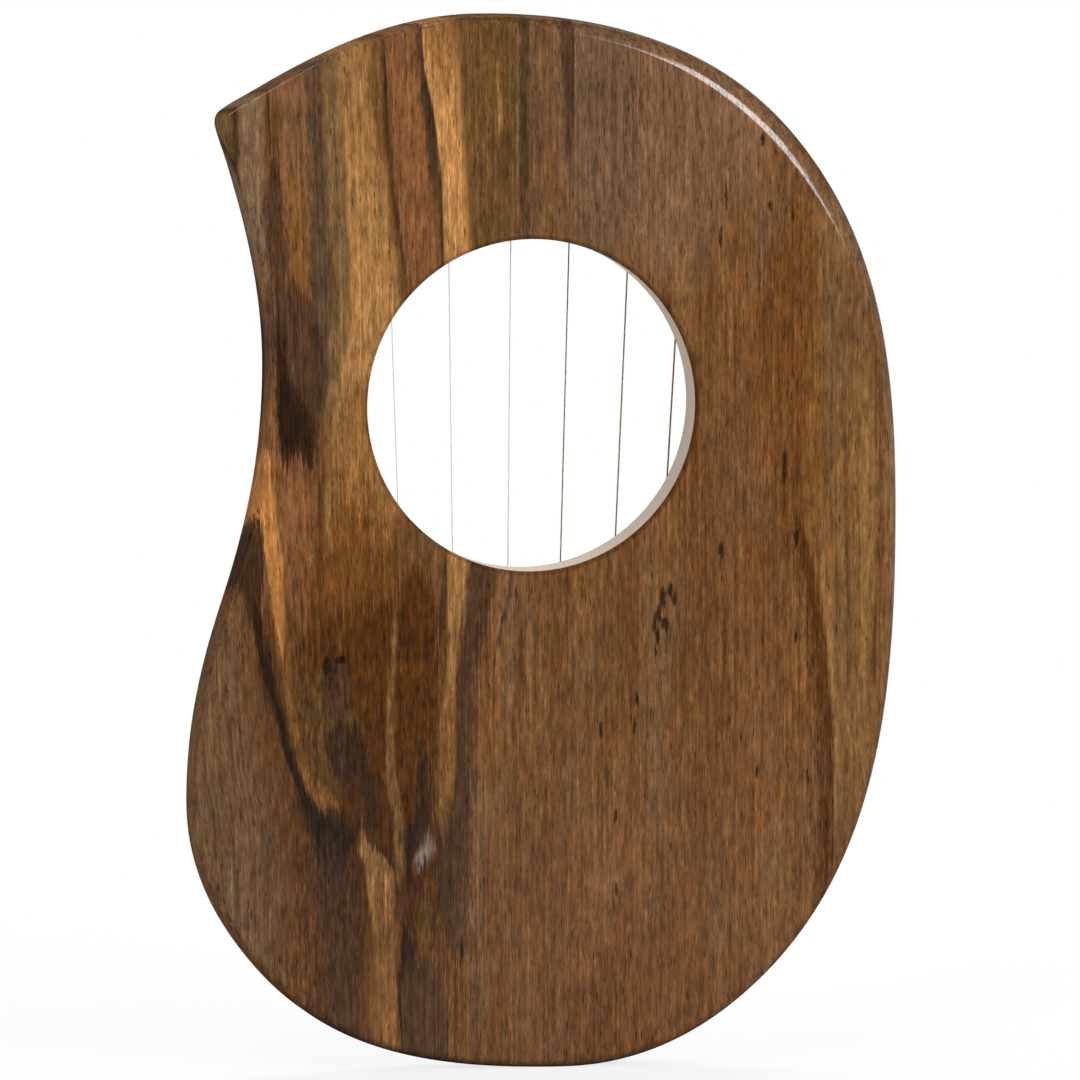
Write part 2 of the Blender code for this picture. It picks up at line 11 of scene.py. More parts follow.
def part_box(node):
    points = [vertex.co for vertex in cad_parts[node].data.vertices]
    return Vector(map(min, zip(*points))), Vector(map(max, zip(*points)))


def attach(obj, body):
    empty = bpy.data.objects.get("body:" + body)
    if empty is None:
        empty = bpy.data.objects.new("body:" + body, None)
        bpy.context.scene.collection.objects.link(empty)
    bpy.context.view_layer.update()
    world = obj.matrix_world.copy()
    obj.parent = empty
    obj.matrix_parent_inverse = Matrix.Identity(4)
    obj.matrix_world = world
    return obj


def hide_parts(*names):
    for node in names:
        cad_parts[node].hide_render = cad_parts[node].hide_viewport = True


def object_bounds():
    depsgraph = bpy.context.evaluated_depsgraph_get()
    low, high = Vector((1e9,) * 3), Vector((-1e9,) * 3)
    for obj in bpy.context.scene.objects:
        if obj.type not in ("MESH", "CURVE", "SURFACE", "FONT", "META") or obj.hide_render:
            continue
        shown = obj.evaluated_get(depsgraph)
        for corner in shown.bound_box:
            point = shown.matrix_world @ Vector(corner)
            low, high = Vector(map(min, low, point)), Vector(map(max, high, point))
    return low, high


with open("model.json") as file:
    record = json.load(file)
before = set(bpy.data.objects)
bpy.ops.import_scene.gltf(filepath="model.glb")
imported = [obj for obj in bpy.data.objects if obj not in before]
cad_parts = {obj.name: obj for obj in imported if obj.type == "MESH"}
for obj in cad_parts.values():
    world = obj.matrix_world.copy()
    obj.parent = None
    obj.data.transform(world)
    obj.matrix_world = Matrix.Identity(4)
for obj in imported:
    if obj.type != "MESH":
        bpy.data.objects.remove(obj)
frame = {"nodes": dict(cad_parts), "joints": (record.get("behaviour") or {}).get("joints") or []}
cad_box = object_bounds()

# The plate is one walnut board, sawn to its outline, bored with a round hand hole and sanded
# round along its edges, most along the upper right arm. It is sealed with a clear satin varnish.
# Blind bores in its string face take the tuning pins and the hitch pins.
mm = 0.001
plate_low, plate_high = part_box("body")
thickness = plate_high.y - plate_low.y
board_low = plate_low.z
board_high = plate_high.z
edge_round = 3.0 * mm
arm_round = 8.0 * mm
arm_facing = 45.0  # degrees up from +X
arm_spread = 35.0
tip_round = 1.2 * mm
tip_facing = 130.0
tip_spread = 28.0
front_round = 3.0 * mm
hole_round = 1.5 * mm
round_steps = 9
outline_count = 820
hole_count = 256
bore_count = 40
bore_depth = 6.0 * mm
bore_break = 0.35 * mm
pin_bore = 2.72 * mm
hitch_bore = 1.32 * mm
a_hair = 0.01 * mm
pin_places = [Vector(joint["pos_m"]) for joint in frame["joints"]]
hitch_boxes = [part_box(f"hitch_pin_{k}") for k in range(1, 7)]
hitch_places = [(low + high) / 2 for low, high in hitch_boxes]
middle = Vector((0, 0, 0))


def board_outline(count):
    """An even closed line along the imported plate's side wall, with its outward directions."""
    wall = set()
    for corner in frame["nodes"]["body"].data.vertices:
        if abs(corner.co.y - (thickness - front_round)) < a_hair:
            wall.add((round(corner.co.x, 6), round(corner.co.z, 6)))
    wall = np.array(sorted(wall, key=lambda spot: math.atan2(spot[1], spot[0])))
    ahead = np.roll(wall, -1, axis=0) - wall
    steps = np.linalg.norm(ahead, axis=1)
    back_steps = np.roll(steps, 1)
    size = len(wall)
    bending = np.zeros((size, size))
    for k in range(size):
        bending[k, k - 1] = 1 / back_steps[k]
        bending[k, k] = 2 / back_steps[k] + 2 / steps[k]
        bending[k, (k + 1) % size] = 1 / steps[k]
    pull = ahead / steps[:, None] ** 2
    slopes = np.linalg.solve(bending, 3 * (pull + np.roll(pull, 1, axis=0)))
    reach = np.append(0.0, np.cumsum(steps))
    spots = np.linspace(0.0, reach[-1], count, endpoint=False)
    first = np.searchsorted(reach, spots, side="right") - 1
    last = (first + 1) % size
    span = steps[first][:, None]
    part = (spots - reach[first])[:, None] / span
    rest = 1 - part
    points = (1 + 2 * part) * rest**2 * wall[first] + part * rest**2 * span * slopes[first]
    points += part**2 * (3 - 2 * part) * wall[last] - part**2 * rest * span * slopes[last]
    runs = np.roll(points, -1, axis=0) - np.roll(points, 1, axis=0)
    outward = np.stack([runs[:, 1], -runs[:, 0]], axis=1) / np.linalg.norm(runs, axis=1)[:, None]
    return points, outward


def quarter_turns(steps):
    """Even angles from nothing to a right angle."""
    return [math.pi / 2 * step / steps for step in range(steps + 1)]


def full_turn(count):
    """Even angles round a circle."""
    return [2 * math.pi * k / count for k in range(count)]


def circle(bm, centre, radius, height, count):
    """A ring of corners that faces the string side."""
    ring = []
    for turn in full_turn(count):
        spot = (centre.x + radius * math.cos(turn), height, centre.z + radius * math.sin(turn))
        ring.append(bm.verts.new(spot))
    return ring


def skin(bm, rings, ends=False):
    """Closes the surface between neighbouring rings of corners, and over both ends where asked."""
    for ring, other in zip(rings, rings[1:]):
        for k in range(len(ring)):
            bm.faces.new((ring[k - 1], ring[k], other[k], other[k - 1]))
    if ends:
        bm.faces.new(rings[0])
        bm.faces.new(rings[-1])


def fill_flat(bm, rings):
    """Fills the flat area between an outer ring of corners and the rings inside it."""
    edges = []
    for ring in rings:
        for k in range(len(ring)):
            pair = (ring[k - 1], ring[k])
            edges.append(bm.edges.get(pair) or bm.edges.new(pair))
    bmesh.ops.triangle_fill(bm, use_beauty=True, use_dissolve=False, edges=edges)


def add_object(name, data):
    """Puts a mesh, a lamp or the camera in the scene."""
    made = bpy.data.objects.new(name, data)
    bpy.context.collection.objects.link(made)
    return made


def add_mesh(name, bm):
    """A raw piece, with its faces outward."""
    bmesh.ops.recalc_face_normals(bm, faces=bm.faces)
    mesh = bpy.data.meshes.new(name)
    bm.to_mesh(mesh)
    bm.free()
    return add_object(name, mesh)


def settle(piece):
    """Turns a piece with its modifiers into a plain mesh."""
    depsgraph = bpy.context.evaluated_depsgraph_get()
    made = bpy.data.meshes.new_from_object(
        piece.evaluated_get(depsgraph), preserve_all_data_layers=True, depsgraph=depsgraph
    )
    piece.modifiers.clear()
    made.name = piece.name
    piece.data = made
    return piece


def finish(piece, look, sharp):
    """Gives a piece its material, smooth except at its sharp edges, with its flats shaded flat."""
    piece.data.materials.clear()
    piece.data.materials.append(look)
    piece.data.shade_smooth()
    piece.data.set_sharp_from_angle(angle=math.radians(sharp))
    flats = piece.modifiers.new("flats", "WEIGHTED_NORMAL")
    flats.keep_sharp = True
    return settle(piece)


def make_piece(name, bm, look, sharp=40):
    """A finished piece."""
    return finish(add_mesh(name, bm), look, sharp)


def add_node(tree, kind, inputs=None, **settings):
    """Adds a node; an input is a value or another node's socket."""
    made = tree.nodes.new(kind)
    for name, value in settings.items():
        setattr(made, name, value)
    for name, value in (inputs or {}).items():
        if isinstance(value, bpy.types.NodeSocket):
            tree.links.new(value, made.inputs[name])
        else:
            made.inputs[name].default_value = value
    return made


def put(tree, kind, inputs=None, **settings):
    """Adds a node and gives its first output."""
    return add_node(tree, kind, inputs, **settings).outputs[0]


def calc(tree, operation, *values, clamp=False):
    """One sum on a value that changes over the surface."""
    return put(tree, "ShaderNodeMath", dict(enumerate(values)), operation=operation, use_clamp=clamp)


def remap(tree, value, low, high, to_low=0.0, to_high=1.0, kind="SMOOTHSTEP"):
    """Spreads a value between two limits."""
    limits = {"Value": value, "From Min": low, "From Max": high, "To Min": to_low, "To Max": to_high}
    return put(tree, "ShaderNodeMapRange", limits, interpolation_type=kind)


def between(tree, value, rise, fall):
    """1 between two soft limits, 0 outside them."""
    return calc(tree, "MULTIPLY", remap(tree, value, *rise), remap(tree, value, *fall, 1.0, 0.0))


def blend_colours(tree, share, under, over, kind="MIX"):
    """Lays one colour over another."""
    made = add_node(tree, "ShaderNodeMix", {0: share, 6: under, 7: over}, data_type="RGBA", blend_type=kind)
    return made.outputs[2]


def stain(tree, under, mask, strength, shade):
    """Lays a colour over another where a mask is, at this strength."""
    return blend_colours(tree, calc(tree, "MULTIPLY", mask, strength), under, shade)


def add_relief(tree, shader, height, strength, distance):
    """Fine relief from a height that changes over the surface."""
    bump = put(tree, "ShaderNodeBump", {"Height": height, "Strength": strength, "Distance": distance})
    tree.links.new(bump, shader.inputs["Normal"])


def tint(red, green, blue):
    """A colour as it shows on a screen, 0 to 255, in the linear values that a shader takes."""
    linear = []
    for level in (red / 255, green / 255, blue / 255):
        linear.append(level / 12.92 if level <= 0.04045 else ((level + 0.055) / 1.055) ** 2.4)
    return (*linear, 1.0)


def new_material(name):
    """A material with its node tree and its shader."""
    made = bpy.data.materials.new(name)
    made.use_nodes = True
    return made, made.node_tree, made.node_tree.nodes["Principled BSDF"]


def new_group(name, inputs, outputs):
    """An empty shader group: inputs with their kinds and defaults, and outputs that are all numbers."""
    group = bpy.data.node_groups.new(name, "ShaderNodeTree")
    for label, (kind, value) in inputs.items():
        socket = group.interface.new_socket(label, in_out="INPUT", socket_type=kind)
        if value is not None:
            socket.default_value = value
    for label in outputs:
        group.interface.new_socket(label, in_out="OUTPUT", socket_type=number)
    return group, group.nodes.new("NodeGroupInput").outputs, group.nodes.new("NodeGroupOutput").inputs


def use_group(tree, group, inputs):
    """Places a shader group in a material with its own values."""
    return add_node(tree, "ShaderNodeGroup", inputs, node_tree=group).outputs


number = "NodeSocketFloat"
wood_grain, given, gives = new_group(
    "wood_grain",
    {
        "Place": ("NodeSocketVector", None),
        "Fibre Width": (number, 0.0005),
        "Fibre Length": (number, 0.01),
        "Pore Width": (number, 0.001),
        "Pore Length": (number, 0.012),
        "Pore Share": (number, 0.5),
    },
    ("Bands", "Strands", "Fibres", "Lines", "Pores", "Height"),
)


def times(value, factor):
    """So many times a value of the grain."""
    return calc(wood_grain, "MULTIPLY", value, factor)


def along_grain(width, length):
    """Places in the wood in units of this width, and this length along the grain (Z)."""
    size = put(wood_grain, "ShaderNodeCombineXYZ", {0: width, 1: width, 2: length})
    return put(wood_grain, "ShaderNodeVectorMath", {0: given["Place"], 1: size}, operation="DIVIDE")


def grain_noise(width, length, detail, rough):
    """Noise drawn out along the grain, about this wide and this long in the wood."""
    inputs = {"Vector": along_grain(width, length), "Scale": 1.0, "Detail": detail, "Roughness": rough}
    return put(wood_grain, "ShaderNodeTexNoise", inputs)


def grain_pores(width, length, share):
    """Open pores cut along: short dark dashes, each thicker or thinner by chance."""
    inputs = {"Vector": along_grain(width, length), "Scale": 1.0}
    cells = add_node(wood_grain, "ShaderNodeTexVoronoi", inputs)
    chance = put(wood_grain, "ShaderNodeSeparateColor", {0: cells.outputs["Color"]})
    edge = remap(wood_grain, chance, calc(wood_grain, "SUBTRACT", 1.0, share), 1.0, 0.0, 0.3, "LINEAR")
    inside = calc(wood_grain, "SUBTRACT", edge, cells.outputs["Distance"])
    return remap(wood_grain, inside, 0.0, 0.12)


fibre_width = given["Fibre Width"]
pore_width = given["Pore Width"]
pore_length = given["Pore Length"]
pore_share = given["Pore Share"]
fibres = grain_noise(fibre_width, given["Fibre Length"], 4.0, 0.7)
strands = grain_noise(times(fibre_width, 2.2), times(fibre_width, 150.0), 3.0, 0.6)
bands = grain_noise(times(fibre_width, 7.0), times(fibre_width, 420.0), 3.0, 0.55)
rings = grain_noise(times(fibre_width, 26.0), times(fibre_width, 900.0), 2.0, 0.5)
ring_count = calc(wood_grain, "FRACT", times(rings, 9.0))
from_ring = calc(wood_grain, "ABSOLUTE", calc(wood_grain, "SUBTRACT", ring_count, 0.5))
large_pores = grain_pores(pore_width, pore_length, pore_share)
small_pores = grain_pores(times(pore_width, 0.6), times(pore_length, 0.5), pore_share)
pores = calc(wood_grain, "MAXIMUM", large_pores, small_pores)
grain_parts = {
    "Bands": bands,
    "Strands": strands,
    "Fibres": fibres,
    "Lines": remap(wood_grain, from_ring, 0.0, 0.16, 1.0, 0.0),
    "Pores": pores,
    "Height": calc(wood_grain, "SUBTRACT", times(fibres, 0.35), pores),
}
for label, value in grain_parts.items():
    wood_grain.links.new(value, gives[label])

figure_line, given, gives = new_group(
    "figure_line",
    {
        "Across": (number, 0.0),
        "Centre": (number, 0.0),
        "Half Width": (number, 0.001),
        "Left Blur": (number, 0.001),
        "Right Blur": (number, 0.001),
        "Feather": (number, 0.0),
    },
    ("Mask",),
)
offset = calc(figure_line, "SUBTRACT", given["Across"], given["Centre"])
on_right = calc(figure_line, "GREATER_THAN", offset, 0.0)
blur = put(figure_line, "ShaderNodeMix", {0: on_right, 2: given["Left Blur"], 3: given["Right Blur"]})
outside = calc(figure_line, "SUBTRACT", calc(figure_line, "ABSOLUTE", offset), given["Half Width"])
frayed = calc(figure_line, "ADD", calc(figure_line, "DIVIDE", outside, blur), given["Feather"])
figure_line.links.new(remap(figure_line, frayed, -1.0, 1.0, 1.0, 0.0), gives["Mask"])

mid_brown = tint(112, 74, 39)
shade_brown = tint(92, 57, 26)
light_brown = tint(132, 92, 53)
red_brown = tint(110, 68, 33)
straw_brown = tint(128, 92, 51)
ash_brown = tint(110, 83, 59)
olive = tint(102, 72, 36)
dusty_brown = tint(128, 93, 66)
khaki = tint(122, 94, 57)
mist_brown = tint(134, 105, 78)
dull_rose = tint(124, 85, 54)
smoke_brown = tint(88, 66, 47)
rose = tint(130, 84, 49)
honey = tint(125, 82, 39)
rust = tint(108, 63, 21)
dark_rust = tint(82, 46, 10)
tan = tint(160, 114, 65)
gold = tint(184, 131, 76)
orange = tint(178, 119, 63)
slate_brown = tint(98, 71, 50)
umber = tint(74, 50, 32)
night_brown = tint(58, 37, 20)
black_brown = tint(40, 24, 10)
# a painted glint on the varnish
painted_glint = tint(170, 150, 140)
# a painted reflection of the bright room, laid on the hole's inner wall
painted_wall_reflection = tint(206, 190, 174)

# colour, softness of the left and right edge, strength, then (height, left edge, right edge), or
# (height, place) where the streak has died out; all in millimetres
walnut_figure = [
    (shade_brown, 12, 10, 0.85, [(-40, -60), (-80, -98, -32), (-150, -96, -26), (-205, -80, -28)]),
    (dark_rust, 8, 8, 0.8, [(-60, -52), (-85, -70, -36), (-120, -70, -36), (-160, -66, -34), (-200, -50)]),
    (dusty_brown, 12, 12, 0.75, [(128, 10, 60), (90, 16, 82), (62, 26, 66), (30, 44)]),
    (red_brown, 12, 10, 0.45, [(50, 70), (10, 58, 92), (-60, 50, 92), (-120, 50, 92), (-170, 70)]),
    (ash_brown, 8, 8, 0.8, [(130, 8, 34), (90, 8, 36), (60, 10, 34), (20, 22)]),
    (olive, 2, 3, 0.9, [(130, -24, -4), (90, -23, -4), (60, -22, -4), (40, -20, -5), (20, -12)]),
    (ash_brown, 6, 6, 0.55, [(-50, -100), (-80, -116, -96), (-120, -116, -90), (-160, -112, -84),
        (-195, -90)]),
    (rose, 10, 10, 0.3, [(-125, 30), (-160, 0, 60), (-220, -10, 60)]),
    (rust, 6, 4, 0.65, [(75, 89), (50, 80, 96), (20, 79, 96), (-10, 80, 96), (-40, 84, 94), (-65, 89)]),
    (straw_brown, 4, 4, 0.5, [(74, 101), (55, 96, 106), (25, 98, 108), (0, 100, 120), (-60, 101, 120),
        (-100, 103, 116), (-130, 103, 112), (-158, 106)]),
    (red_brown, 5, 5, 0.6, [(10, 56), (-20, 50, 60), (-60, 50, 60), (-85, 55)]),
    (red_brown, 6, 8, 0.6, [(-160, 35), (-190, 15, 60), (-220, 10, 60)]),
    (honey, 1.5, 1.5, 0.7, [(44, 94), (10, 92, 97.5), (-25, 92.5, 98), (-52, 95)]),
    (shade_brown, 0.8, 0.8, 0.7, [(14, 106), (-5, 105.2, 106.8), (-40, 105.4, 107), (-60, 105.6, 106.6),
        (-90, 106)]),
    (tan, 1.2, 1.2, 0.3, [(34, 110), (5, 110.5, 114), (-40, 111, 114.5), (-90, 110, 113), (-124, 111)]),
    (shade_brown, 0.8, 0.8, 0.75, [(36, 115.5), (5, 116, 118), (-40, 116.5, 118.5), (-80, 115, 117),
        (-112, 114)]),
    (tan, 0.6, 1.5, 0.5, [(-40, 98.5), (-60, 97.5, 100.5), (-90, 100, 102.5), (-120, 101.5, 104),
        (-156, 103)]),
    (dark_rust, 3.5, 0.7, 0.95, [(-28, 89), (-45, 88.5, 92.5), (-60, 90.5, 96.3), (-80, 93.5, 98.8),
        (-100, 95.5, 100.4), (-120, 96.5, 101.4), (-145, 96.5, 101.4), (-160, 97, 100), (-180, 99)]),
    (mist_brown, 1.5, 1.5, 0.85, [(112, -98, -90), (80, -98, -90), (60, -95, -89.5), (40, -90, -88),
        (16, -90)]),
    (dull_rose, 1.5, 1.5, 0.9, [(118, -85, -76), (90, -84, -75), (70, -83, -74.5), (50, -81.5, -74),
        (30, -80, -75), (10, -78)]),
    (rose, 1, 1, 0.7, [(66, -91), (40, -91, -88), (10, -91, -86.5), (-10, -90.5, -84.5), (-25, -88, -82.5),
        (-44, -87)]),
    (slate_brown, 1.2, 1, 0.9, [(120, -76, -69.5), (96, -75.5, -69.5), (72, -73)]),
    (smoke_brown, 1.2, 1, 0.9, [(100, -73), (84, -75, -69.5), (60, -74.5, -69), (45, -74, -66.5),
        (20, -74, -67), (0, -74, -70), (-14, -72)]),
    (khaki, 1, 2, 0.8, [(120, -70.5, -64), (90, -70, -63), (60, -68, -62), (40, -66, -61), (15, -68, -60),
        (-5, -69, -62), (-28, -66)]),
    (tan, 1.5, 1.5, 0.95, [(124, -66, -55), (100, -65, -53), (80, -63, -49.5), (60, -62, -47),
        (40, -61, -45), (20, -62, -42), (0, -66, -40), (-20, -68, -42), (-40, -69, -46), (-55, -69, -56),
        (-70, -68, -60), (-92, -63)]),
    (honey, 4, 4, 0.6, [(20, -54), (-5, -66, -44), (-30, -68, -42), (-60, -70, -50), (-90, -62)]),
    (honey, 0.8, 0.8, 0.8, [(124, -54.5, -51.5), (105, -54, -51), (90, -52.5, -50), (76, -51)]),
    (olive, 0.7, 0.7, 0.6, [(72, -66), (55, -67, -65.3), (30, -66, -64.5), (10, -65, -63.5), (-8, -64)]),
    (rose, 0.6, 0.8, 0.9, [(124, -49, -38.5), (100, -48, -36), (80, -46, -33), (60, -44.5, -31),
        (45, -42, -30), (24, -36)]),
    (umber, 0.5, 0.4, 0.9, [(124, -51, -49.8), (110, -49.8, -48.6), (90, -48.9, -47.7), (75, -47.5, -46.2),
        (62, -46, -44.8), (48, -44, -43), (34, -42)]),
    (umber, 1.2, 0.35, 0.95, [(127, -38.4, -36.6), (118, -38.4, -36), (108, -37.4, -34.6),
        (98, -36.8, -33), (88, -35.2, -31.6), (75, -33.2, -30.6), (60, -31.8, -30), (46, -30.8, -29.5),
        (30, -29.5)]),
    (gold, 0.35, 1.8, 1.0, [(129, -36.5, -26), (118, -36.2, -25), (108, -34.8, -24), (98, -33, -23.8),
        (88, -31.6, -23), (75, -30.6, -22.5), (60, -30, -21.5), (50, -29.6, -21), (24, -26)]),
    (honey, 2, 2, 0.6, [(131, -37, -24), (122, -36, -24), (112, -33, -26), (96, -29)]),
    (tan, 0.4, 0.4, 0.9, [(122, -11.4), (108, -12, -10.6), (95, -11.6, -10.2), (82, -11)]),
    (ash_brown, 1, 1, 0.5, [(128, -6, 4), (90, -6, 4), (54, -5, 4), (30, 0)]),
    (umber, 1, 1, 0.75, [(128, -4, -1), (90, -4, -1), (54, -3.6, -1), (30, -2.5)]),
    (umber, 1, 1, 0.85, [(129, 10, 15), (110, 10, 14.5), (95, 11, 14), (82, 11.5, 13), (64, 12.3)]),
    (night_brown, 0.5, 0.5, 0.8, [(116, -88.4), (100, -88.8, -87.4), (88, -88, -87.4), (78, -87.7)]),
    (night_brown, 0.6, 0.8, 0.8, [(104, -100, -98), (85, -100, -98.4), (65, -97.5, -96.5), (44, -95)]),
    (khaki, 0.8, 0.6, 0.9, [(106, -107, -101.4), (92, -107, -100.8), (80, -104, -100.2), (70, -99)]),
    (honey, 1, 1, 0.9, [(86, -80), (70, -82, -77), (50, -80.5, -75.5), (30, -80, -75.5), (8, -78)]),
    (umber, 1.2, 1.2, 0.8, [(92, -86), (65, -90, -83), (45, -88, -82), (20, -86, -81), (5, -84, -80),
        (-10, -82)]),
    (umber, 1.2, 0.6, 0.85, [(46, -80), (27, -87, -71), (17, -86.7, -70), (8, -85.8, -69.8),
        (-2, -85.4, -71.2), (-11, -84.8, -72), (-20, -83, -73.4), (-23, -78)]),
    (black_brown, 0.5, 1.2, 0.9, [(42, -85), (28, -85.6, -84.2), (20, -85.6, -83.4), (10, -85.6, -82),
        (0, -85.6, -79), (-8, -85.2, -77), (-16, -82)]),
    (black_brown, 0.8, 1.2, 0.75, [(14, -83), (4, -85.4, -77), (-2, -85.2, -73.6), (-11, -84.6, -72.8),
        (-19, -83, -73.6), (-22.5, -78)]),
    (rose, 1.5, 1, 0.8, [(-12, -79), (-24, -83, -73), (-45, -83, -72.5), (-60, -82, -72.5), (-82, -78)]),
    (dark_rust, 0.4, 0.5, 0.9, [(-12, -71), (-30, -72, -70.9), (-50, -72, -71), (-62, -72, -71.2),
        (-84, -71.3)]),
    (rust, 8, 8, 0.8, [(-12, -58), (-45, -72, -48), (-65, -76, -44), (-80, -76, -42), (-98, -72, -44),
        (-140, -54)]),
    (dark_rust, 6, 6, 0.65, [(-60, -56), (-85, -76, -34), (-120, -74, -33), (-160, -72, -30),
        (-205, -50)]),
    (honey, 0.5, 0.7, 1.0, [(-52, -85), (-62, -87.2, -82.8), (-70, -86.3, -82.2), (-80, -85.4, -80.8),
        (-90, -83.6, -80.4), (-100, -81.8, -79), (-110, -79.5, -76.8), (-120, -77.4, -73.2),
        (-128, -74, -66), (-133, -71.5, -64.5), (-137, -69, -66.5), (-143, -67.5)]),
    (orange, 0.5, 0.6, 1.0, [(-2, -90), (-15, -90.5, -88), (-22, -96, -87.4), (-34, -99, -86.2),
        (-42, -92, -84.5), (-50, -88.8, -83.5), (-60, -87.4, -83.2), (-70, -86, -82.8), (-92, -83)]),
    (night_brown, 1.2, 0.5, 0.92, [(-33, -92.2), (-37, -93.8, -91.2), (-40, -96.4, -90.4),
        (-45, -99, -89.6), (-50, -101, -89.4), (-56, -99.5, -89.6), (-62, -97, -90.5), (-70, -94.5, -90),
        (-80, -91.6, -87.4), (-90, -90, -85.6), (-100, -87, -83.4), (-110, -84.4, -80.4),
        (-120, -80.6, -77.6), (-130, -78, -73.4), (-138, -76, -66), (-143, -74, -60), (-150, -72, -61),
        (-158, -68, -64), (-172, -66)]),
    (black_brown, 0.8, 0.5, 0.8, [(-56, -93), (-70, -93.5, -91), (-85, -90.6, -88.2), (-100, -86.4, -84.4),
        (-112, -83.2, -81), (-124, -79.4, -77), (-134, -75.5, -72.6), (-146, -71)]),
    (black_brown, 2, 2, 0.8, [(-130, -68), (-140, -74, -60), (-146, -72, -60), (-160, -66)]),
    (umber, 4, 3, 0.8, [(-140, -67), (-155, -73, -60), (-180, -70, -59), (-200, -70, -58),
        (-220, -68, -58)]),
    (olive, 2, 2, 0.7, [(-82, -71), (-98, -79, -60), (-108, -76, -58), (-122, -72, -62), (-136, -66)]),
    (umber, 2.5, 2.5, 0.75, [(-76, -66), (-88, -71, -61), (-96, -71, -60), (-106, -64)]),
    (night_brown, 2, 2, 0.9, [(-100, -64), (-111, -69, -58), (-118, -68, -57), (-127, -58)]),
    (night_brown, 1, 1, 0.9, [(-98, -60.5), (-112, -61, -57), (-120, -58, -54.5), (-130, -56.5, -52),
        (-137, -55, -52), (-148, -53)]),
    (dark_rust, 0.6, 0.6, 0.8, [(-54, -48.7), (-70, -49.6, -48.2), (-90, -50.4, -48.6), (-105, -51.5, -49),
        (-124, -50)]),
    (light_brown, 0.6, 0.6, 0.8, [(-58, -46.7), (-75, -47.5, -45.5), (-95, -48.5, -46.2), (-110, -49, -46),
        (-125, -48.5, -45.4), (-135, -47, -43.5), (-150, -46.6, -43.6), (-166, -45)]),
    (dark_rust, 1, 1.5, 0.85, [(-46, -40), (-65, -45, -33), (-90, -45.5, -31.5), (-115, -45, -32.5),
        (-128, -43.5, -36), (-146, -40)]),
    (umber, 0.5, 0.4, 0.9, [(-44, -29.7), (-60, -31, -29), (-70, -31.5, -29.5), (-86, -31)]),
    (umber, 0.5, 2.5, 0.9, [(-40, -17), (-56, -21.8, -12.5), (-66, -22, -13), (-74, -23, -15),
        (-82, -24.4, -17.5), (-90, -25.4, -19.5), (-100, -25.6, -19), (-112, -25.4, -20),
        (-124, -25.6, -19.5), (-134, -28, -19.5), (-146, -31, -20), (-156, -33, -20.5), (-164, -32, -21.5),
        (-174, -29, -23), (-200, -27)]),
    (tan, 0.5, 0.5, 1.0, [(-36, -25), (-54, -28.6, -22), (-62, -28.6, -23), (-72, -28.4, -24.4),
        (-80, -27.8, -25.4), (-90, -29.6, -26), (-98, -30.6, -26.2), (-108, -31, -26),
        (-118, -30.6, -26.2), (-126, -31, -27), (-134, -31.4, -29), (-150, -30.4)]),
    (honey, 1, 1, 0.7, [(-84, -28.5), (-100, -31.4, -25.6), (-118, -31.4, -25.6), (-134, -32, -28),
        (-152, -30)]),
    (night_brown, 1, 1, 0.9, [(-106, -37), (-122, -38.6, -34.6), (-132, -39, -35), (-142, -41, -36),
        (-152, -41)]),
    (tan, 1, 0.6, 0.95, [(-132, -57.7), (-144, -58, -54.5), (-152, -56, -47.6), (-162, -54.5, -46.8),
        (-176, -53, -46.6), (-188, -52.5, -46), (-198, -54, -45.6), (-220, -54, -46)]),
    (honey, 3, 3, 0.75, [(-146, -50), (-172, -55, -45), (-195, -56, -45), (-220, -56, -44)]),
    (black_brown, 0.5, 0.5, 0.9, [(-132, -41.2), (-144, -42.4, -40.4), (-155, -42, -40.4), (-170, -41.2)]),
    (black_brown, 0.5, 0.5, 0.9, [(-162, -42.5), (-174, -43.6, -41.4), (-180, -44.4, -39.4),
        (-186, -44.6, -39.6), (-189, -45.2, -43), (-196, -45.4, -44), (-208, -44.4, -43),
        (-220, -44, -43)]),
    (olive, 1, 1, 0.7, [(-156, -35.5), (-168, -38, -34), (-180, -38.6, -35), (-192, -37)]),
    (umber, 1.5, 3, 0.85, [(-178, -40), (-190, -44, -30), (-205, -43.5, -28), (-220, -43, -28)]),
    (umber, 0.5, 0.6, 0.85, [(-46, -6.7), (-58, -8, -6.4), (-68, -9.6, -8.6), (-78, -11.6, -10.4),
        (-88, -13.4, -12.4), (-102, -13.7)]),
    (shade_brown, 0.8, 0.8, 0.7, [(-62, -4.2), (-80, -4.8, -2.8), (-98, -3, -1), (-120, -1)]),
    # painted glint: pale streaks that stand for a shine on the varnish, low on the left
    (painted_glint, 1.6, 1.6, 0.55, [(-139, -35), (-144, -36, -34), (-149, -39, -35), (-154, -38)]),
]
# place across, height, half width and half length of each small dark fleck, in millimetres
walnut_flecks = [
    (85, -22, 1.1, 4), (88.5, -45.5, 0.8, 2.5), (63.5, -49, 0.8, 2), (46.4, -62, 0.9, 2),
    (44, -64.5, 0.9, 2.4), (47.6, -65, 0.7, 1.8), (43, -69.5, 0.9, 2.4), (41.4, -72.5, 0.8, 3),
    (44.4, -73, 0.8, 2), (42.4, -77.5, 0.6, 2.4), (41.6, -82, 0.4, 2), (89, -78.5, 0.5, 1.5),
    (23.5, -108, 0.6, 2), (35, -98, 0.5, 2), (34, -107, 0.5, 2), (40, -103, 0.4, 1.5),
    (75.5, -123, 0.6, 1.3), (93, -125, 0.5, 2), (28, -137, 0.4, 1.5), (28, -161, 0.4, 1.5),
    (77.5, 87, 0.8, 1.5), (80, 65, 0.8, 1.5), (87.5, 62, 0.5, 2), (65, 68, 0.6, 4), (63, 55, 0.5, 2.5),
    (-69.2, -85.2, 1.4, 2.2), (-64.5, -83.2, 2.2, 1), (-68, -91, 0.5, 2), (-5, -62, 0.6, 2),
    (-23.5, -180, 0.6, 2.5),
]
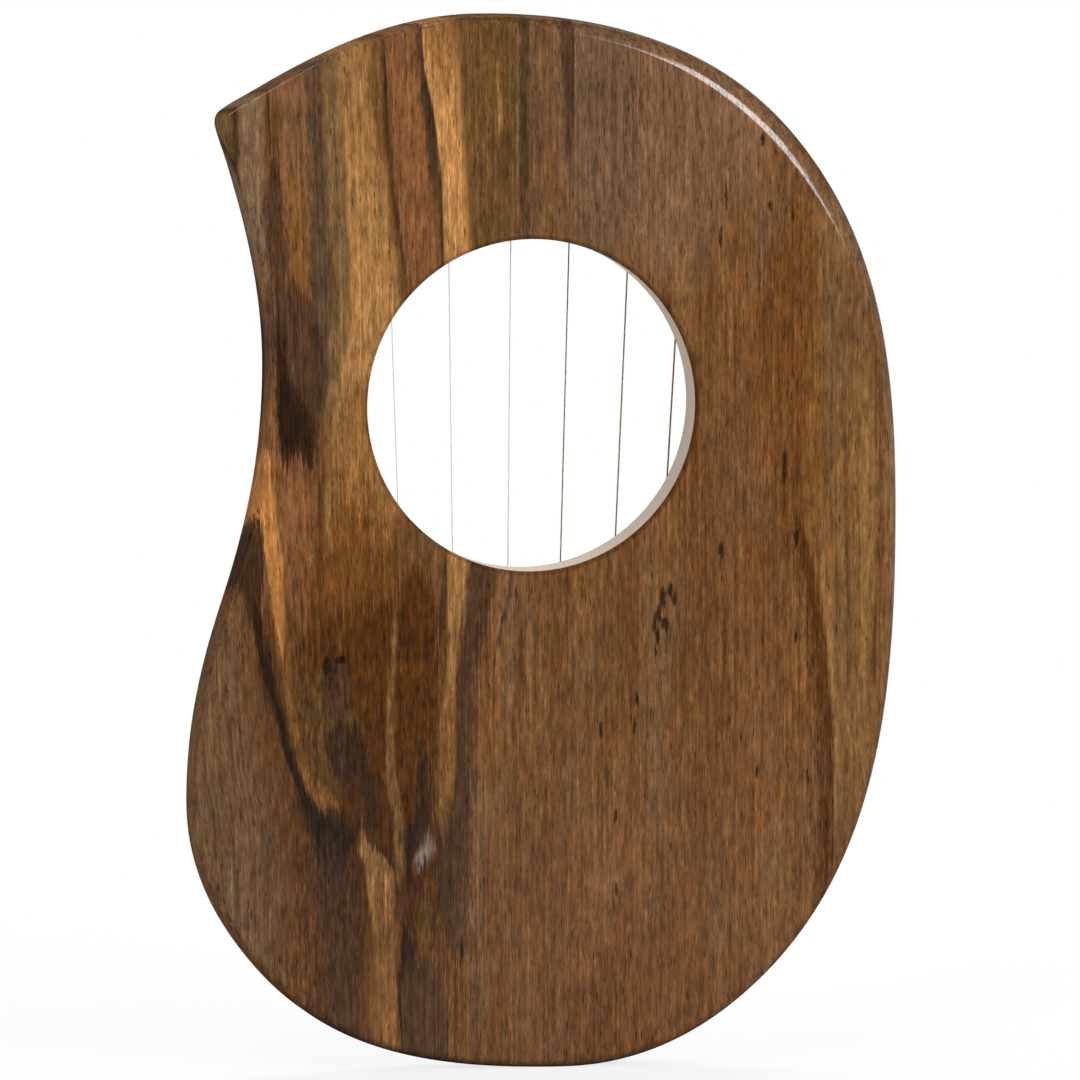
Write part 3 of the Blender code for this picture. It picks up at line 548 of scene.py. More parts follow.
board_reach = 130.0 * mm  # the figure's places across lie between minus and plus this
widest_line = 40.0 * mm
streak_waver = 2.8 * mm
strand_waver = 2.0 * mm
streak_lean = 0.25  # sideways through the board, for each step in depth
fleck_stretch = 1.3
branch_sides = ((-0.094, -0.074), (-0.036, -0.022))
branch_ends = ((-0.205, -0.17), (-0.08, -0.04))

walnut, wood, varnish = new_material("walnut")
place = add_node(wood, "ShaderNodeTexCoord").outputs["Object"]
x, y, z = add_node(wood, "ShaderNodeSeparateXYZ", {0: place}).outputs
height = remap(wood, z, board_low, board_high, kind="LINEAR")


def along_board(level, stops, reach):
    """A value that follows a level on the board through a few stops, between minus and plus its reach."""
    made = add_node(wood, "ShaderNodeFloatCurve", {"Value": level})
    curve = made.mapping.curves[0]
    spots = []
    for stop, value in sorted(stops):
        up = (stop * mm - board_low) / (board_high - board_low)
        spots.append((up, (value * mm + reach) / (2 * reach)))
    while len(curve.points) < len(spots):
        curve.points.new(0.5, 0.5)
    for point, spot in zip(curve.points, spots):
        point.location = spot
        point.handle_type = "AUTO_CLAMPED"
    made.mapping.extend = "HORIZONTAL"
    made.mapping.update()
    limits = {"Value": made.outputs[0], "To Min": -reach, "To Max": reach}
    return put(wood, "ShaderNodeMapRange", limits, clamp=False)


def soft_cloud(scale, detail=2.0):
    """Slow noise with its own scale across, through and along the board."""
    drawn = put(wood, "ShaderNodeMapping", {0: place, "Scale": scale})
    return put(wood, "ShaderNodeTexNoise", {"Vector": drawn, "Scale": 1.0, "Detail": detail})


def centred(value, amount):
    """Noise from 0 to 1 as a shift either way."""
    return calc(wood, "MULTIPLY_ADD", value, amount, -amount / 2)


# the grain runs straight but for the left side, where it swings in below the waist
grain_path = [
    (128, -4), (60, -1.5), (0, 0), (-36, 0.8), (-65, 2.4),
    (-93, 3.6), (-118, 6), (-135, 9), (-160, 10), (-215, 11),
]
swing = along_board(height, grain_path, board_reach)
swing = calc(wood, "MULTIPLY", swing, remap(wood, x, -0.068, -0.02, 1.0, 0.0))
flow = put(wood, "ShaderNodeCombineXYZ", {0: calc(wood, "SUBTRACT", x, swing), 1: y, 2: z})
grain = use_group(wood, wood_grain, {
    "Place": flow,
    "Fibre Width": 0.0004,
    "Fibre Length": 0.004,
    "Pore Width": 0.0009,
    "Pore Length": 0.007,
    "Pore Share": 0.6,
})
shift = centred(soft_cloud((150.0, 150.0, 22.0)), streak_waver)
shift = calc(wood, "ADD", shift, centred(grain["Strands"], strand_waver))
shift = calc(wood, "MULTIPLY_ADD", y, streak_lean, shift)
across = calc(wood, "ADD", x, shift)
feather = calc(wood, "ADD", centred(grain["Strands"], 3.0), centred(grain["Fibres"], 2.5))
colour = blend_colours(wood, remap(wood, grain["Bands"], 0.3, 0.7), shade_brown, light_brown)
colour = blend_colours(wood, 0.5, colour, mid_brown)
warm = soft_cloud((110.0, 110.0, 34.0), 3.0)
cool = soft_cloud((83.0, 83.0, 21.0), 3.0)
colour = blend_colours(wood, remap(wood, warm, 0.46, 0.66, 0.0, 0.75), colour, red_brown)
colour = blend_colours(wood, remap(wood, cool, 0.46, 0.66, 0.0, 0.5), colour, ash_brown)
# the ends of the streaks run out in ragged fibres
ragged = calc(wood, "ADD", height, centred(soft_cloud((2400.0, 2400.0, 30.0)), 0.05))
for shade, left_blur, right_blur, strength, stops in walnut_figure:
    gone = -2 * max(left_blur, right_blur)
    centres = []
    halves = []
    for stop in stops:
        centres.append((stop[0], (stop[1] + stop[-1]) / 2))
        halves.append((stop[0], (stop[2] - stop[1]) / 2 if len(stop) == 3 else gone))
    line = use_group(wood, figure_line, {
        "Across": across,
        "Centre": along_board(height, centres, board_reach),
        "Half Width": along_board(ragged, halves, widest_line),
        "Left Blur": left_blur * mm,
        "Right Blur": right_blur * mm,
        "Feather": feather,
    })
    colour = stain(wood, colour, line["Mask"], strength, shade)
spots = 0.0
torn = centred(soft_cloud((1400.0, 1400.0, 420.0), 3.0), 4.0)
for fleck_x, fleck_z, half_width, half_length in walnut_flecks:
    u = calc(wood, "DIVIDE", calc(wood, "SUBTRACT", across, fleck_x * mm), half_width * mm)
    v = calc(wood, "DIVIDE", calc(wood, "SUBTRACT", z, fleck_z * mm), half_length * fleck_stretch * mm)
    far = calc(wood, "MULTIPLY_ADD", u, u, calc(wood, "MULTIPLY_ADD", v, v, torn))
    spots = calc(wood, "MAXIMUM", spots, remap(wood, far, 0.2, 1.8, 1.0, 0.0))
colour = stain(wood, colour, spots, 0.92, black_brown)
# light and dark follow the fibres, the strands, broad clouds and small flakes, each by its own amount
tone = 1.0
for pattern, amount in (
    (grain["Fibres"], 0.7),
    (grain["Strands"], 0.4),
    (soft_cloud((45.0, 45.0, 16.0)), 0.2),
    (soft_cloud((560.0, 560.0, 110.0), 4.0), 0.5),
):
    light = remap(wood, pattern, 0.25, 0.75, 1 - amount, 1 + amount, "LINEAR")
    tone = calc(wood, "MULTIPLY", tone, light)
# below the waist, where a branch grew, the grain is curly and darker
curly = calc(wood, "MULTIPLY", between(wood, x, *branch_sides), between(wood, z, *branch_ends))
curls = remap(wood, soft_cloud((800.0, 800.0, 200.0), 3.0), 0.35, 0.65, 0.55, 1.15, "LINEAR")
tone = calc(wood, "MULTIPLY", tone, put(wood, "ShaderNodeMix", {0: curly, 2: 1.0, 3: curls}))
grey = put(wood, "ShaderNodeCombineColor", {0: tone, 1: tone, 2: tone})
colour = blend_colours(wood, 1.0, colour, grey, "MULTIPLY")
colour = stain(wood, colour, grain["Lines"], remap(wood, x, -0.02, 0.06, 0.1, 0.06), black_brown)
colour = stain(wood, colour, grain["Pores"], 0.8, black_brown)
low_edge = add_node(wood, "ShaderNodeAttribute", attribute_name="low_edge").outputs["Fac"]
hole_side = add_node(wood, "ShaderNodeAttribute", attribute_name="hole_wall").outputs["Fac"]
thin_coat = add_node(wood, "ShaderNodeAttribute", attribute_name="side_wall").outputs["Fac"]
# painted shade, darker on the plate's edges and on the hole's rim
colour = stain(wood, colour, low_edge, 0.8, black_brown)
# painted reflection: the hole's inner wall is turned pale
colour = stain(wood, colour, hole_side, 0.85, painted_wall_reflection)
wood.links.new(colour, varnish.inputs["Base Color"])
film = remap(wood, grain["Fibres"], 0.3, 0.6, 0.4, 1.0)
film = calc(wood, "MULTIPLY", film, remap(wood, grain["Pores"], 0.0, 1.0, 1.0, 0.2))
film = calc(wood, "MULTIPLY", film, remap(wood, thin_coat, 0.0, 1.0, 1.0, 0.04, "LINEAR"))
film = calc(wood, "MAXIMUM", film, calc(wood, "MULTIPLY", hole_side, 0.25))
wood.links.new(film, varnish.inputs["Coat Weight"])
varnish.inputs["Coat Roughness"].default_value = 0.13
varnish.inputs["Specular IOR Level"].default_value = 0.0
wood.links.new(remap(wood, grain["Fibres"], 0.3, 0.7, 0.42, 0.58, "LINEAR"), varnish.inputs["Roughness"])
add_relief(wood, varnish, grain["Height"], 0.35, 0.00008)

bm = bmesh.new()
# this mark holds painted shade along the edges and round the hole's rim
shaded = bm.verts.layers.float.new("low_edge")
side_wall = bm.verts.layers.float.new("side_wall")
hole_wall = bm.verts.layers.float.new("hole_wall")
outline, outward = board_outline(outline_count)
round_turns = quarter_turns(round_steps)
edge_rings = []
for side, turns in (("back", reversed(round_turns)), ("front", round_turns)):
    for turn in turns:
        ring = []
        for spot, away in zip(outline, outward):
            facing = math.degrees(math.atan2(away[1], away[0]))
            radius = front_round if side == "front" else edge_round
            if side == "back":
                off_tip = (facing - tip_facing + 180) % 360 - 180
                radius += (arm_round - edge_round) * math.exp(-(((facing - arm_facing) / arm_spread) ** 2))
                radius += (tip_round - edge_round) * math.exp(-((off_tip / tip_spread) ** 2))
            inner = spot - away * radius * (1 - math.cos(turn))
            depth = radius * (1 - math.sin(turn))
            corner = bm.verts.new((inner[0], depth if side == "back" else thickness - depth, inner[1]))
            # painted shade: the edge is darkened underneath, on the arm's outer side and towards the
            # strings on the left
            under = math.cos(turn) * max(0.0, -away[1] - 0.2) / 0.8
            over = 0.8 * max(0.0, math.cos(turn) - 0.35) * max(0.0, 0.6 * away[0] + 0.8 * away[1])
            left = 0.6 * (corner.co.y / thickness) ** 3 * max(0.0, -away[0])
            corner[shaded] = max(under, over, left)
            # the varnish is thin on the side wall, least at the far right
            bare = min(1.0, max(0.0, math.cos(turn) - 0.5) / 0.35)
            corner[side_wall] = bare * (1 - 0.7 * max(0.0, away[0] - 0.85) / 0.15)
            ring.append(corner)
        edge_rings.append(ring)
skin(bm, edge_rings)
hole_radius = min(math.hypot(v.co.x, v.co.z) for v in frame["nodes"]["body"].data.vertices)
hole_sections = []
for turn in reversed(round_turns):
    radius = hole_radius + hole_round * (1 - math.cos(turn))
    hole_sections.append((radius, hole_round * (1 - math.sin(turn))))
hole_sections += [(radius, thickness - depth) for radius, depth in reversed(hole_sections)]
hole_rings = []
for radius, depth in hole_sections:
    in_hole = radius < hole_radius + 0.99 * hole_round
    on_rim = in_hole and hole_radius < radius - a_hair
    ring = circle(bm, middle, radius, depth, hole_count)
    for corner in ring:
        corner[side_wall] = 1.0 if in_hole else 0.0
        # painted shade: a thin dark line on the hole's rounded rim
        corner[shaded] = 0.4 if on_rim else 0.0
        # the hole's wall is marked for its painted reflection
        corner[hole_wall] = 1.0 if radius < hole_radius + a_hair else 0.0
    hole_rings.append(ring)
skin(bm, hole_rings)
bore_mouths = []
for places, bore in ((pin_places, pin_bore), (hitch_places, hitch_bore)):
    bore_sections = ((bore + bore_break, 0.0), (bore, bore_break), (bore, bore_depth))
    for spot in places:
        rings = [circle(bm, spot, radius, thickness - depth, bore_count) for radius, depth in bore_sections]
        skin(bm, rings)
        bm.faces.new(rings[-1])
        bore_mouths.append(rings[0])
fill_flat(bm, [edge_rings[0], hole_rings[0]])
fill_flat(bm, [edge_rings[-1], hole_rings[-1]] + bore_mouths)
plate = make_piece("plate", bm, walnut)
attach(plate, "harp")
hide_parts("body")

# The nut and the bridge are two strips of dark hardwood, planed with round shoulders and softly
# rounded ends, and glued across the string face above and below the hole. A groove along the
# crown of each holds a rod. The bridge stands aslant, so that the low strings are longer.
strip_width = 10.0 * mm
strip_height = 7.0 * mm
strip_shoulder = 1.8 * mm
strip_end = 5.0 * mm
strip_seat = 0.05 * mm  # glued this far into the plate's face
end_width = 0.55
end_height = 0.72
end_run = 0.8  # the rounding, as a part of the strip's end
bridge_slant = math.radians(22.0)
strip_grain_turn = math.radians(80.0)
rod_radius = 1.5 * mm
groove_radius = 1.53 * mm
rod_height = 7.2 * mm  # rod's centre above the string face
groove_start = 0.15 * mm  # the groove's end, before the rod's
groove_full = 0.05 * mm
strip_brown = tint(58, 38, 26)
strip_light = tint(96, 64, 42)
strip_line = tint(40, 26, 18)
strip_sheen = tint(112, 78, 52)
strip_pore = tint(30, 20, 14)

strip_wood, tree, oil = new_material("strip_wood")
place = add_node(tree, "ShaderNodeTexCoord").outputs["Object"]
grain = use_group(tree, wood_grain, {
    "Place": put(tree, "ShaderNodeMapping", {0: place, "Rotation": (0.0, strip_grain_turn, 0.0)}),
    "Fibre Width": 0.0003,
    "Fibre Length": 0.008,
    "Pore Width": 0.0007,
    "Pore Length": 0.005,
    "Pore Share": 0.5,
})
colour = blend_colours(tree, remap(tree, grain["Bands"], 0.3, 0.7), strip_brown, strip_light)
colour = stain(tree, colour, grain["Lines"], 0.5, strip_line)
colour = blend_colours(tree, remap(tree, grain["Fibres"], 0.35, 0.8, 0.0, 0.4), colour, strip_sheen)
colour = stain(tree, colour, grain["Pores"], 0.7, strip_pore)
tree.links.new(colour, oil.inputs["Base Color"])
oil.inputs["Specular IOR Level"].default_value = 0.35
tree.links.new(remap(tree, grain["Fibres"], 0.3, 0.7, 0.36, 0.52, "LINEAR"), oil.inputs["Roughness"])
add_relief(tree, oil, grain["Height"], 0.4, 0.00006)


def rod_lie(name, slant):
    """A rod's middle and half length, and the directions along and across it."""
    low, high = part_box(name)
    half = ((high - low).x / 2 - rod_radius * math.sin(slant)) / math.cos(slant)
    along = Vector((math.cos(slant), 0, -math.sin(slant)))
    return (low + high) / 2, half, along, Vector((math.sin(slant), 0, math.cos(slant)))


def strip_section(narrow, low, groove):
    """A round-shouldered section as (across, height) pairs, with the rod's groove in its crown."""
    half = strip_width / 2 * narrow
    top = strip_height * low
    shoulder = strip_shoulder * narrow
    side = [(half, -strip_seat), (half, top * 0.4)]
    for turn in quarter_turns(8):
        side.append((half - shoulder * (1 - math.cos(turn)), top - shoulder * (1 - math.sin(turn))))
    reach = math.acos((rod_height - strip_height) / groove_radius + 0.02)
    hollow = []
    for step in range(13):
        turn = reach * (1 - step / 6)
        hollow_depth = strip_height - rod_height + groove_radius * math.cos(turn)
        hollow.append((groove_radius * math.sin(turn), top - max(0.0, hollow_depth) * groove))
    return side + hollow + [(-u, v) for u, v in reversed(side)]


for name, slant in (("nut", 0.0), ("bridge", bridge_slant)):
    low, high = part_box(name)
    centre = (low + high) / 2
    _, rod_half, along, across_strip = rod_lie(f"{name}_rod", slant)
    stations = []
    for turn in quarter_turns(9):
        run = -(rod_half + strip_end) + strip_end * end_run * (1 - math.cos(turn))
        width = end_width + (1 - end_width) * math.sin(turn)
        stations.append((run, width, end_height + (1 - end_height) * math.sin(turn), 0.0))
    stations.append((-rod_half - groove_start, 1.0, 1.0, 0.0))
    stations.append((-rod_half - groove_full, 1.0, 1.0, 1.0))
    stations += [(-run, *shape) for run, *shape in reversed(stations)]
    bm = bmesh.new()
    rings = []
    for run, *shape in stations:
        ring = []
        for u, v in strip_section(*shape):
            spot = centre + along * run + across_strip * u
            ring.append(bm.verts.new((spot.x, thickness + v, spot.z)))
        rings.append(ring)
    skin(bm, rings, ends=True)
    strip = make_piece(f"{name}_strip", bm, strip_wood, 50)
    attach(strip, "harp")
    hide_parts(name)

# The rods that the strings cross are drawn brass, cut to length and broken at their ends, laid in
# the grooves of the nut and the bridge. The strings hold them down.
rod_break = 0.35 * mm
rod_count = 40

metal_scuffs, given, gives = new_group(
    "metal_scuffs",
    {"Place": ("NodeSocketVector", None), "Fineness": (number, 0.0006), "Drawn Out": (number, 12.0)},
    ("Scuffs", "Cloud", "Height"),
)
scuff_width = given["Fineness"]
scuff_length = calc(metal_scuffs, "MULTIPLY", scuff_width, given["Drawn Out"])
size = put(metal_scuffs, "ShaderNodeCombineXYZ", {0: scuff_length, 1: scuff_width, 2: scuff_width})
drawn = put(metal_scuffs, "ShaderNodeVectorMath", {0: given["Place"], 1: size}, operation="DIVIDE")
fine = put(metal_scuffs, "ShaderNodeTexNoise", {"Vector": drawn, "Scale": 1.0, "Detail": 4.0})
cloud = put(metal_scuffs, "ShaderNodeTexNoise", {"Vector": given["Place"], "Scale": 260.0, "Detail": 3.0})
metal_scuffs.links.new(remap(metal_scuffs, fine, 0.52, 0.72), gives["Scuffs"])
metal_scuffs.links.new(remap(metal_scuffs, cloud, 0.35, 0.7), gives["Cloud"])
metal_scuffs.links.new(fine, gives["Height"])


def metal(name, bright, dull, rough, rougher, fineness, drawn_out, metallic=1.0):
    """A metal with fine scuffs, patchy tarnish and a finish that changes with them."""
    made, tree, shader = new_material(name)
    place = add_node(tree, "ShaderNodeTexCoord").outputs["Object"]
    marks = use_group(tree, metal_scuffs, {"Place": place, "Fineness": fineness, "Drawn Out": drawn_out})
    tarnish = calc(tree, "MULTIPLY", marks["Cloud"], 0.6)
    worn = calc(tree, "MULTIPLY_ADD", marks["Scuffs"], 0.35, tarnish, clamp=True)
    tree.links.new(blend_colours(tree, worn, bright, dull), shader.inputs["Base Color"])
    tree.links.new(remap(tree, worn, 0.0, 1.0, rough, rougher, "LINEAR"), shader.inputs["Roughness"])
    shader.inputs["Metallic"].default_value = metallic
    add_relief(tree, shader, marks["Height"], 0.12, 0.00002)
    return made


brass = metal("brass", tint(226, 192, 122), tint(176, 138, 78), 0.18, 0.36, 0.0005, 14.0)
for name, slant in (("nut_rod", 0.0), ("bridge_rod", bridge_slant)):
    centre, half, along, across_strip = rod_lie(name, slant)
    stations = []
    for turn in quarter_turns(4):
        run = -half + rod_break * (1 - math.cos(turn))
        stations.append((run, rod_radius - rod_break * (1 - math.sin(turn))))
    stations += [(-run, radius) for run, radius in reversed(stations)]
    bm = bmesh.new()
    rings = []
    for run, radius in stations:
        ring = []
        for turn in full_turn(rod_count):
            spot = centre + along * run + across_strip * radius * math.cos(turn)
            ring.append(bm.verts.new(spot + Vector((0, radius * math.sin(turn), 0))))
        rings.append(ring)
    skin(bm, rings, ends=True)
    rod = make_piece(f"{name}_brass", bm, brass)
    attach(rod, "harp")
    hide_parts(name)

# The hitch pins are six plain steel pins with low round heads, driven into the tail below the
# bridge. Each carries the twisted loop of one string under its head.
hitch_radius = 1.25 * mm
hitch_head = 2.2 * mm
hitch_lip = 0.2 * mm
hitch_crown = 1.4 * mm
hitch_neck = 0.25 * mm
hitch_sides = 36
hitch_top = hitch_boxes[0][1].y
hitch_under = hitch_top - hitch_lip - hitch_crown  # underside of the head
hitch_foot = thickness - bore_depth + 0.2 * mm
hitch_steel = metal("hitch_steel", tint(214, 214, 216), tint(150, 148, 146), 0.2, 0.42, 0.0004, 4.0)


def new_shape_tree(name, inputs):
    """An empty Geometry Nodes tree with named inputs, their identifiers and their sockets."""
    tree = bpy.data.node_groups.new(name, "GeometryNodeTree")
    tree.interface.new_socket("Geometry", in_out="INPUT", socket_type="NodeSocketGeometry")
    known = {}
    for label, kind in inputs.items():
        known[label] = tree.interface.new_socket(label, in_out="INPUT", socket_type=kind).identifier
    tree.interface.new_socket("Geometry", in_out="OUTPUT", socket_type="NodeSocketGeometry")
    return tree, known, tree.nodes.new("NodeGroupInput").outputs


def end_shape_tree(tree, shape, look):
    """Ends a tree in one plain mesh of one material."""
    solid = put(tree, "GeometryNodeRealizeInstances", {"Geometry": shape})
    clad = put(tree, "GeometryNodeSetMaterial", {"Geometry": solid, "Material": look})
    tree.links.new(clad, tree.nodes.new("NodeGroupOutput").inputs[0])


def run_shape_tree(piece, tree, known, values):
    """Runs a tree on a piece with its own values and keeps the mesh that it makes."""
    made = piece.modifiers.new(tree.name, "NODES")
    made.node_group = tree
    for label, value in values.items():
        made[known[label]] = value
    return settle(piece)


bm = bmesh.new()
profile = [
    (hitch_radius, hitch_foot),
    (hitch_radius, hitch_under - hitch_neck),
    (hitch_radius + hitch_neck, hitch_under),
    (hitch_head - 0.12 * mm, hitch_under + 0.06 * mm),
    (hitch_head, hitch_under + hitch_lip),
]
for turn in quarter_turns(12)[1:-1]:
    profile.append((hitch_head * math.cos(turn), hitch_under + hitch_lip + hitch_crown * math.sin(turn)))
rings = [circle(bm, middle, radius, level, hitch_sides) for radius, level in profile]
skin(bm, rings)
bm.faces.new(rings[0])
peak = bm.verts.new((0, hitch_top, 0))
for k in range(hitch_sides):
    bm.faces.new((rings[-1][k - 1], rings[-1][k], peak))
one_hitch_pin = make_piece("one_hitch_pin", bm, hitch_steel)

hitch_inputs = {"Pin": "NodeSocketObject", "Material": "NodeSocketMaterial"}
hitch_tree, known, given = new_shape_tree("pins_on_places", hitch_inputs)
one = add_node(hitch_tree, "GeometryNodeObjectInfo", {"Object": given["Pin"]}).outputs["Geometry"]
spread = put(hitch_tree, "GeometryNodeInstanceOnPoints", {"Points": given["Geometry"], "Instance": one})
end_shape_tree(hitch_tree, spread, given["Material"])
places_mesh = bpy.data.meshes.new("hitch_pins")
places_mesh.from_pydata([(spot.x, 0.0, spot.z) for spot in hitch_places], [], [])
hitch_pins = add_object("hitch_pins", places_mesh)
run_shape_tree(hitch_pins, hitch_tree, known, {"Pin": one_hitch_pin, "Material": hitch_steel})
bpy.data.objects.remove(one_hitch_pin)
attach(hitch_pins, "harp")
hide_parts(*[f"hitch_pin_{k}" for k in range(1, 7)])

# The tuning pins are nickel-plated steel: a round shank with a fine thread that grips the plate,
# a cross eye for the string, and a tapered square head, chamfered at its end, for the tuning key.
# Each turns in its own bore.
pin_radius = 2.5 * mm
pin_count = 48
pin_foot = -5.0 * mm  # lower end shown, from the string face
no_flat = 6.0 * mm  # wider than the pin, so that it stays round
eye_height = 8.5 * mm
eye_radius = 0.9 * mm
eye_count = 24
eye_stations = ((-3.2, 2.0), (-2.2, 1.0), (2.2, 1.0), (3.2, 2.0))  # millimetres, eye radii
head_start = 11.0 * mm
head_end = 23.0 * mm
head_flat = 4.1 * mm
head_tip_flat = 3.8 * mm
head_tip_radius = pin_radius - 0.15 * mm
head_chamfer = 0.7 * mm
shoulder_step = 0.25 * mm
shoulder_steps = 6
thread_pitch = 0.5 * mm
thread_top = 4.6 * mm
thread_wire = 0.14 * mm
pin_steel = metal("pin_steel", tint(222, 222, 222), tint(164, 162, 158), 0.16, 0.34, 0.0005, 3.0)
string_diameters = [0.33 * mm, 0.36 * mm, 0.40 * mm, 0.55 * mm, 0.62 * mm, 0.70 * mm]


def string_direction(hitch, pin, coil):
    """Level direction of a string that runs from a hitch pin and touches its tuning pin's right side."""
    along = Vector((0, 0, 1))
    for _ in range(20):
        side = Vector((along.z, 0, -along.x))
        along = pin + side * coil - hitch
        along.y = 0.0
        along.normalize()
    return along, Vector((along.z, 0, -along.x))


def pin_ring(bm, pin, radius, flat, level):
    """A round ring on a pin, with four flats cut on it."""
    ring = []
    for k in range(pin_count):
        turn = 2 * math.pi * (k + 0.5) / pin_count
        reach = min(radius, flat / 2 / max(abs(math.cos(turn)), abs(math.sin(turn))))
        spot = (pin.x + reach * math.cos(turn), thickness + level, pin.z + reach * math.sin(turn))
        ring.append(bm.verts.new(spot))
    return ring


thread_inputs = dict.fromkeys(("Turns", "Radius", "Height", "Wire"), number)
thread_inputs.update({"Foot": "NodeSocketVector", "Material": "NodeSocketMaterial"})
thread_tree, thread_known, given = new_shape_tree("thread", thread_inputs)
spiral = put(thread_tree, "GeometryNodeCurveSpiral", {
    "Resolution": 36,
    "Rotations": given["Turns"],
    "Start Radius": given["Radius"],
    "End Radius": given["Radius"],
    "Height": given["Height"],
})
upright = (math.radians(-90.0), 0.0, 0.0)
stood = put(thread_tree, "GeometryNodeTransform", {
    "Geometry": spiral, "Translation": given["Foot"], "Rotation": upright,
})
wire = put(thread_tree, "GeometryNodeCurvePrimitiveCircle", {"Resolution": 6, "Radius": given["Wire"]})
ridge = put(thread_tree, "GeometryNodeCurveToMesh", {
    "Curve": stood, "Profile Curve": wire, "Fill Caps": True,
})
ridge = put(thread_tree, "GeometryNodeSetShadeSmooth", {"Geometry": ridge})
both = add_node(thread_tree, "GeometryNodeJoinGeometry")
thread_tree.links.new(given["Geometry"], both.inputs[0])
thread_tree.links.new(ridge, both.inputs[0])
end_shape_tree(thread_tree, both.outputs[0], given["Material"])

for index, (pin, hitch, diameter) in enumerate(zip(pin_places, hitch_places, string_diameters), start=1):
    along, side = string_direction(hitch, pin, pin_radius + diameter / 2)
    sections = [(pin_radius, no_flat, pin_foot), (pin_radius, no_flat, head_start)]
    for step in range(1, shoulder_steps + 1):
        eased = 1 - (1 - step / shoulder_steps) ** 2
        flat = 2 * pin_radius - (2 * pin_radius - head_flat) * eased
        sections.append((pin_radius, flat, head_start + shoulder_step * step))
    sections.append((head_tip_radius, head_tip_flat, head_end - head_chamfer))
    for turn in quarter_turns(5)[1:]:
        inset = head_chamfer * (1 - math.cos(turn))
        level = head_end - head_chamfer * (1 - math.sin(turn))
        sections.append((head_tip_radius - inset, head_tip_flat - 2 * inset, level))
    bm = bmesh.new()
    skin(bm, [pin_ring(bm, pin, *section) for section in sections], ends=True)
    steel_pin = add_mesh(f"pin_{index}_steel", bm)
    bm = bmesh.new()
    rings = []
    for run, wide in eye_stations:
        ring = []
        for turn in full_turn(eye_count):
            out = side * math.cos(turn) + Vector((0, math.sin(turn), 0))
            spot = pin + Vector((0, eye_height, 0)) + along * run * mm + out * wide * eye_radius
            ring.append(bm.verts.new(spot))
        rings.append(ring)
    skin(bm, rings, ends=True)
    eye_drill = make_piece("eye_drill", bm, pin_steel)
    drilled = steel_pin.modifiers.new("eye", "BOOLEAN")
    drilled.object = eye_drill
    drilled.solver = "EXACT"
    settle(steel_pin)
    bpy.data.objects.remove(eye_drill)
    finish(steel_pin, pin_steel, 30)
    run_shape_tree(steel_pin, thread_tree, thread_known, {
        "Turns": (thread_top - pin_foot) / thread_pitch,
        "Radius": pin_radius,
        "Height": thread_top - pin_foot,
        "Wire": thread_wire,
        "Foot": (pin.x, thickness + pin_foot, pin.z),
        "Material": pin_steel,
    })
    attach(steel_pin, f"pin_{index}")
    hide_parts(f"tuning_pin_{index}")

# The strings: three thin ones of plain drawn steel and three of steel wound close with bronze wire.
# Each starts in a twisted loop on its hitch pin, crosses the bridge and the nut, and winds three and
# a quarter turns up its tuning pin into the eye. The last bend turns with the pin.
string_turns = 3.25
eye_turn = 2 * math.pi * string_turns
coil_pitch = 1.12  # in string diameters
touch = 0.52  # from a wire's middle to what it lies on, in diameters
loop_level = 3.2 * mm  # above the string face
twist_start = 7.0 * mm
twist_turns = 2.5
twist_pitch = 5.0  # in string diameters
eye_bend = math.radians(26.0)
eye_dip = 1.0 * mm
stub = 1.2 * mm
line_end = math.radians(20.0)  # the harp's part of the string stops this far before the eye
tail_start = math.radians(60.0)  # and the pin's part starts this far before it
tail_swell = 1.02
wound_from = 4
wrap_share = 0.3  # bronze wire, as a part of the string's diameter
wrap_pitch = 1.06  # in wire diameters
bend_steps = 8
plain_steel = metal("plain_string", tint(240, 240, 240), tint(214, 212, 210), 0.4, 0.55, 0.0003, 2.0, 0.5)
bronze = metal("wound_string", tint(196, 168, 112), tint(146, 118, 72), 0.3, 0.46, 0.0003, 2.0)


def hitch_loop(hitch, side, diameter, bridge_top):
    """The twisted loop: the cut end, down the twist, round the hitch pin and up to the free string."""
    start = Vector((hitch.x, thickness + loop_level, hitch.z))
    twist_end = twist_start + twist_turns * twist_pitch * diameter
    rise = (bridge_top - start).normalized()
    up = side.cross(rise)
    apart = diameter * touch
    loop = hitch_radius + diameter * touch
    strand = []
    steps = round(twist_turns * 14)
    for k in range(steps + 1):
        turn = 2 * math.pi * twist_turns * k / steps
        run = twist_start + (twist_end - twist_start) * k / steps
        strand.append((run, apart * math.cos(turn), apart * math.sin(turn)))
    leg = []
    for k in range(1, 12):
        part = k / 12
        eased = part * part * (3 - 2 * part)
        leg.append((twist_start * (1 - part), apart + (loop - apart) * eased, 0.0))
    bow = []
    for k in range(17):
        turn = math.pi * k / 16
        bow.append((-loop * math.sin(turn), loop * math.cos(turn), 0.0))
    near = list(reversed(strand)) + leg + bow
    far = [(run, -u, -v) for run, u, v in list(reversed(leg)) + strand]
    free = [(twist_end + diameter * 6, 0.0, 0.0)]
    return [start + rise * run + side * u + up * v for run, u, v in near + far + free]


def over_rod(top_of_rod, along, diameter, slope_in, slope_out):
    """The bend of a string over a rod, between two slopes."""
    reach = rod_radius + diameter / 2
    centre = top_of_rod - Vector((0, rod_radius, 0))
    bend = []
    for k in range(bend_steps + 1):
        slope = slope_in + (slope_out - slope_in) * k / bend_steps
        bend.append(centre + reach * (Vector((0, math.cos(slope), 0)) - along * math.sin(slope)))
    return bend


def rod_crossing(name, slant, hitch, along):
    """Top of a rod where a string's level line crosses it."""
    centre, _, _, across_rod = rod_lie(name, slant)
    distance = (centre - hitch).dot(across_rod) / along.dot(across_rod)
    spot = hitch + along * distance
    return Vector((spot.x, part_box(name)[1].y, spot.z))


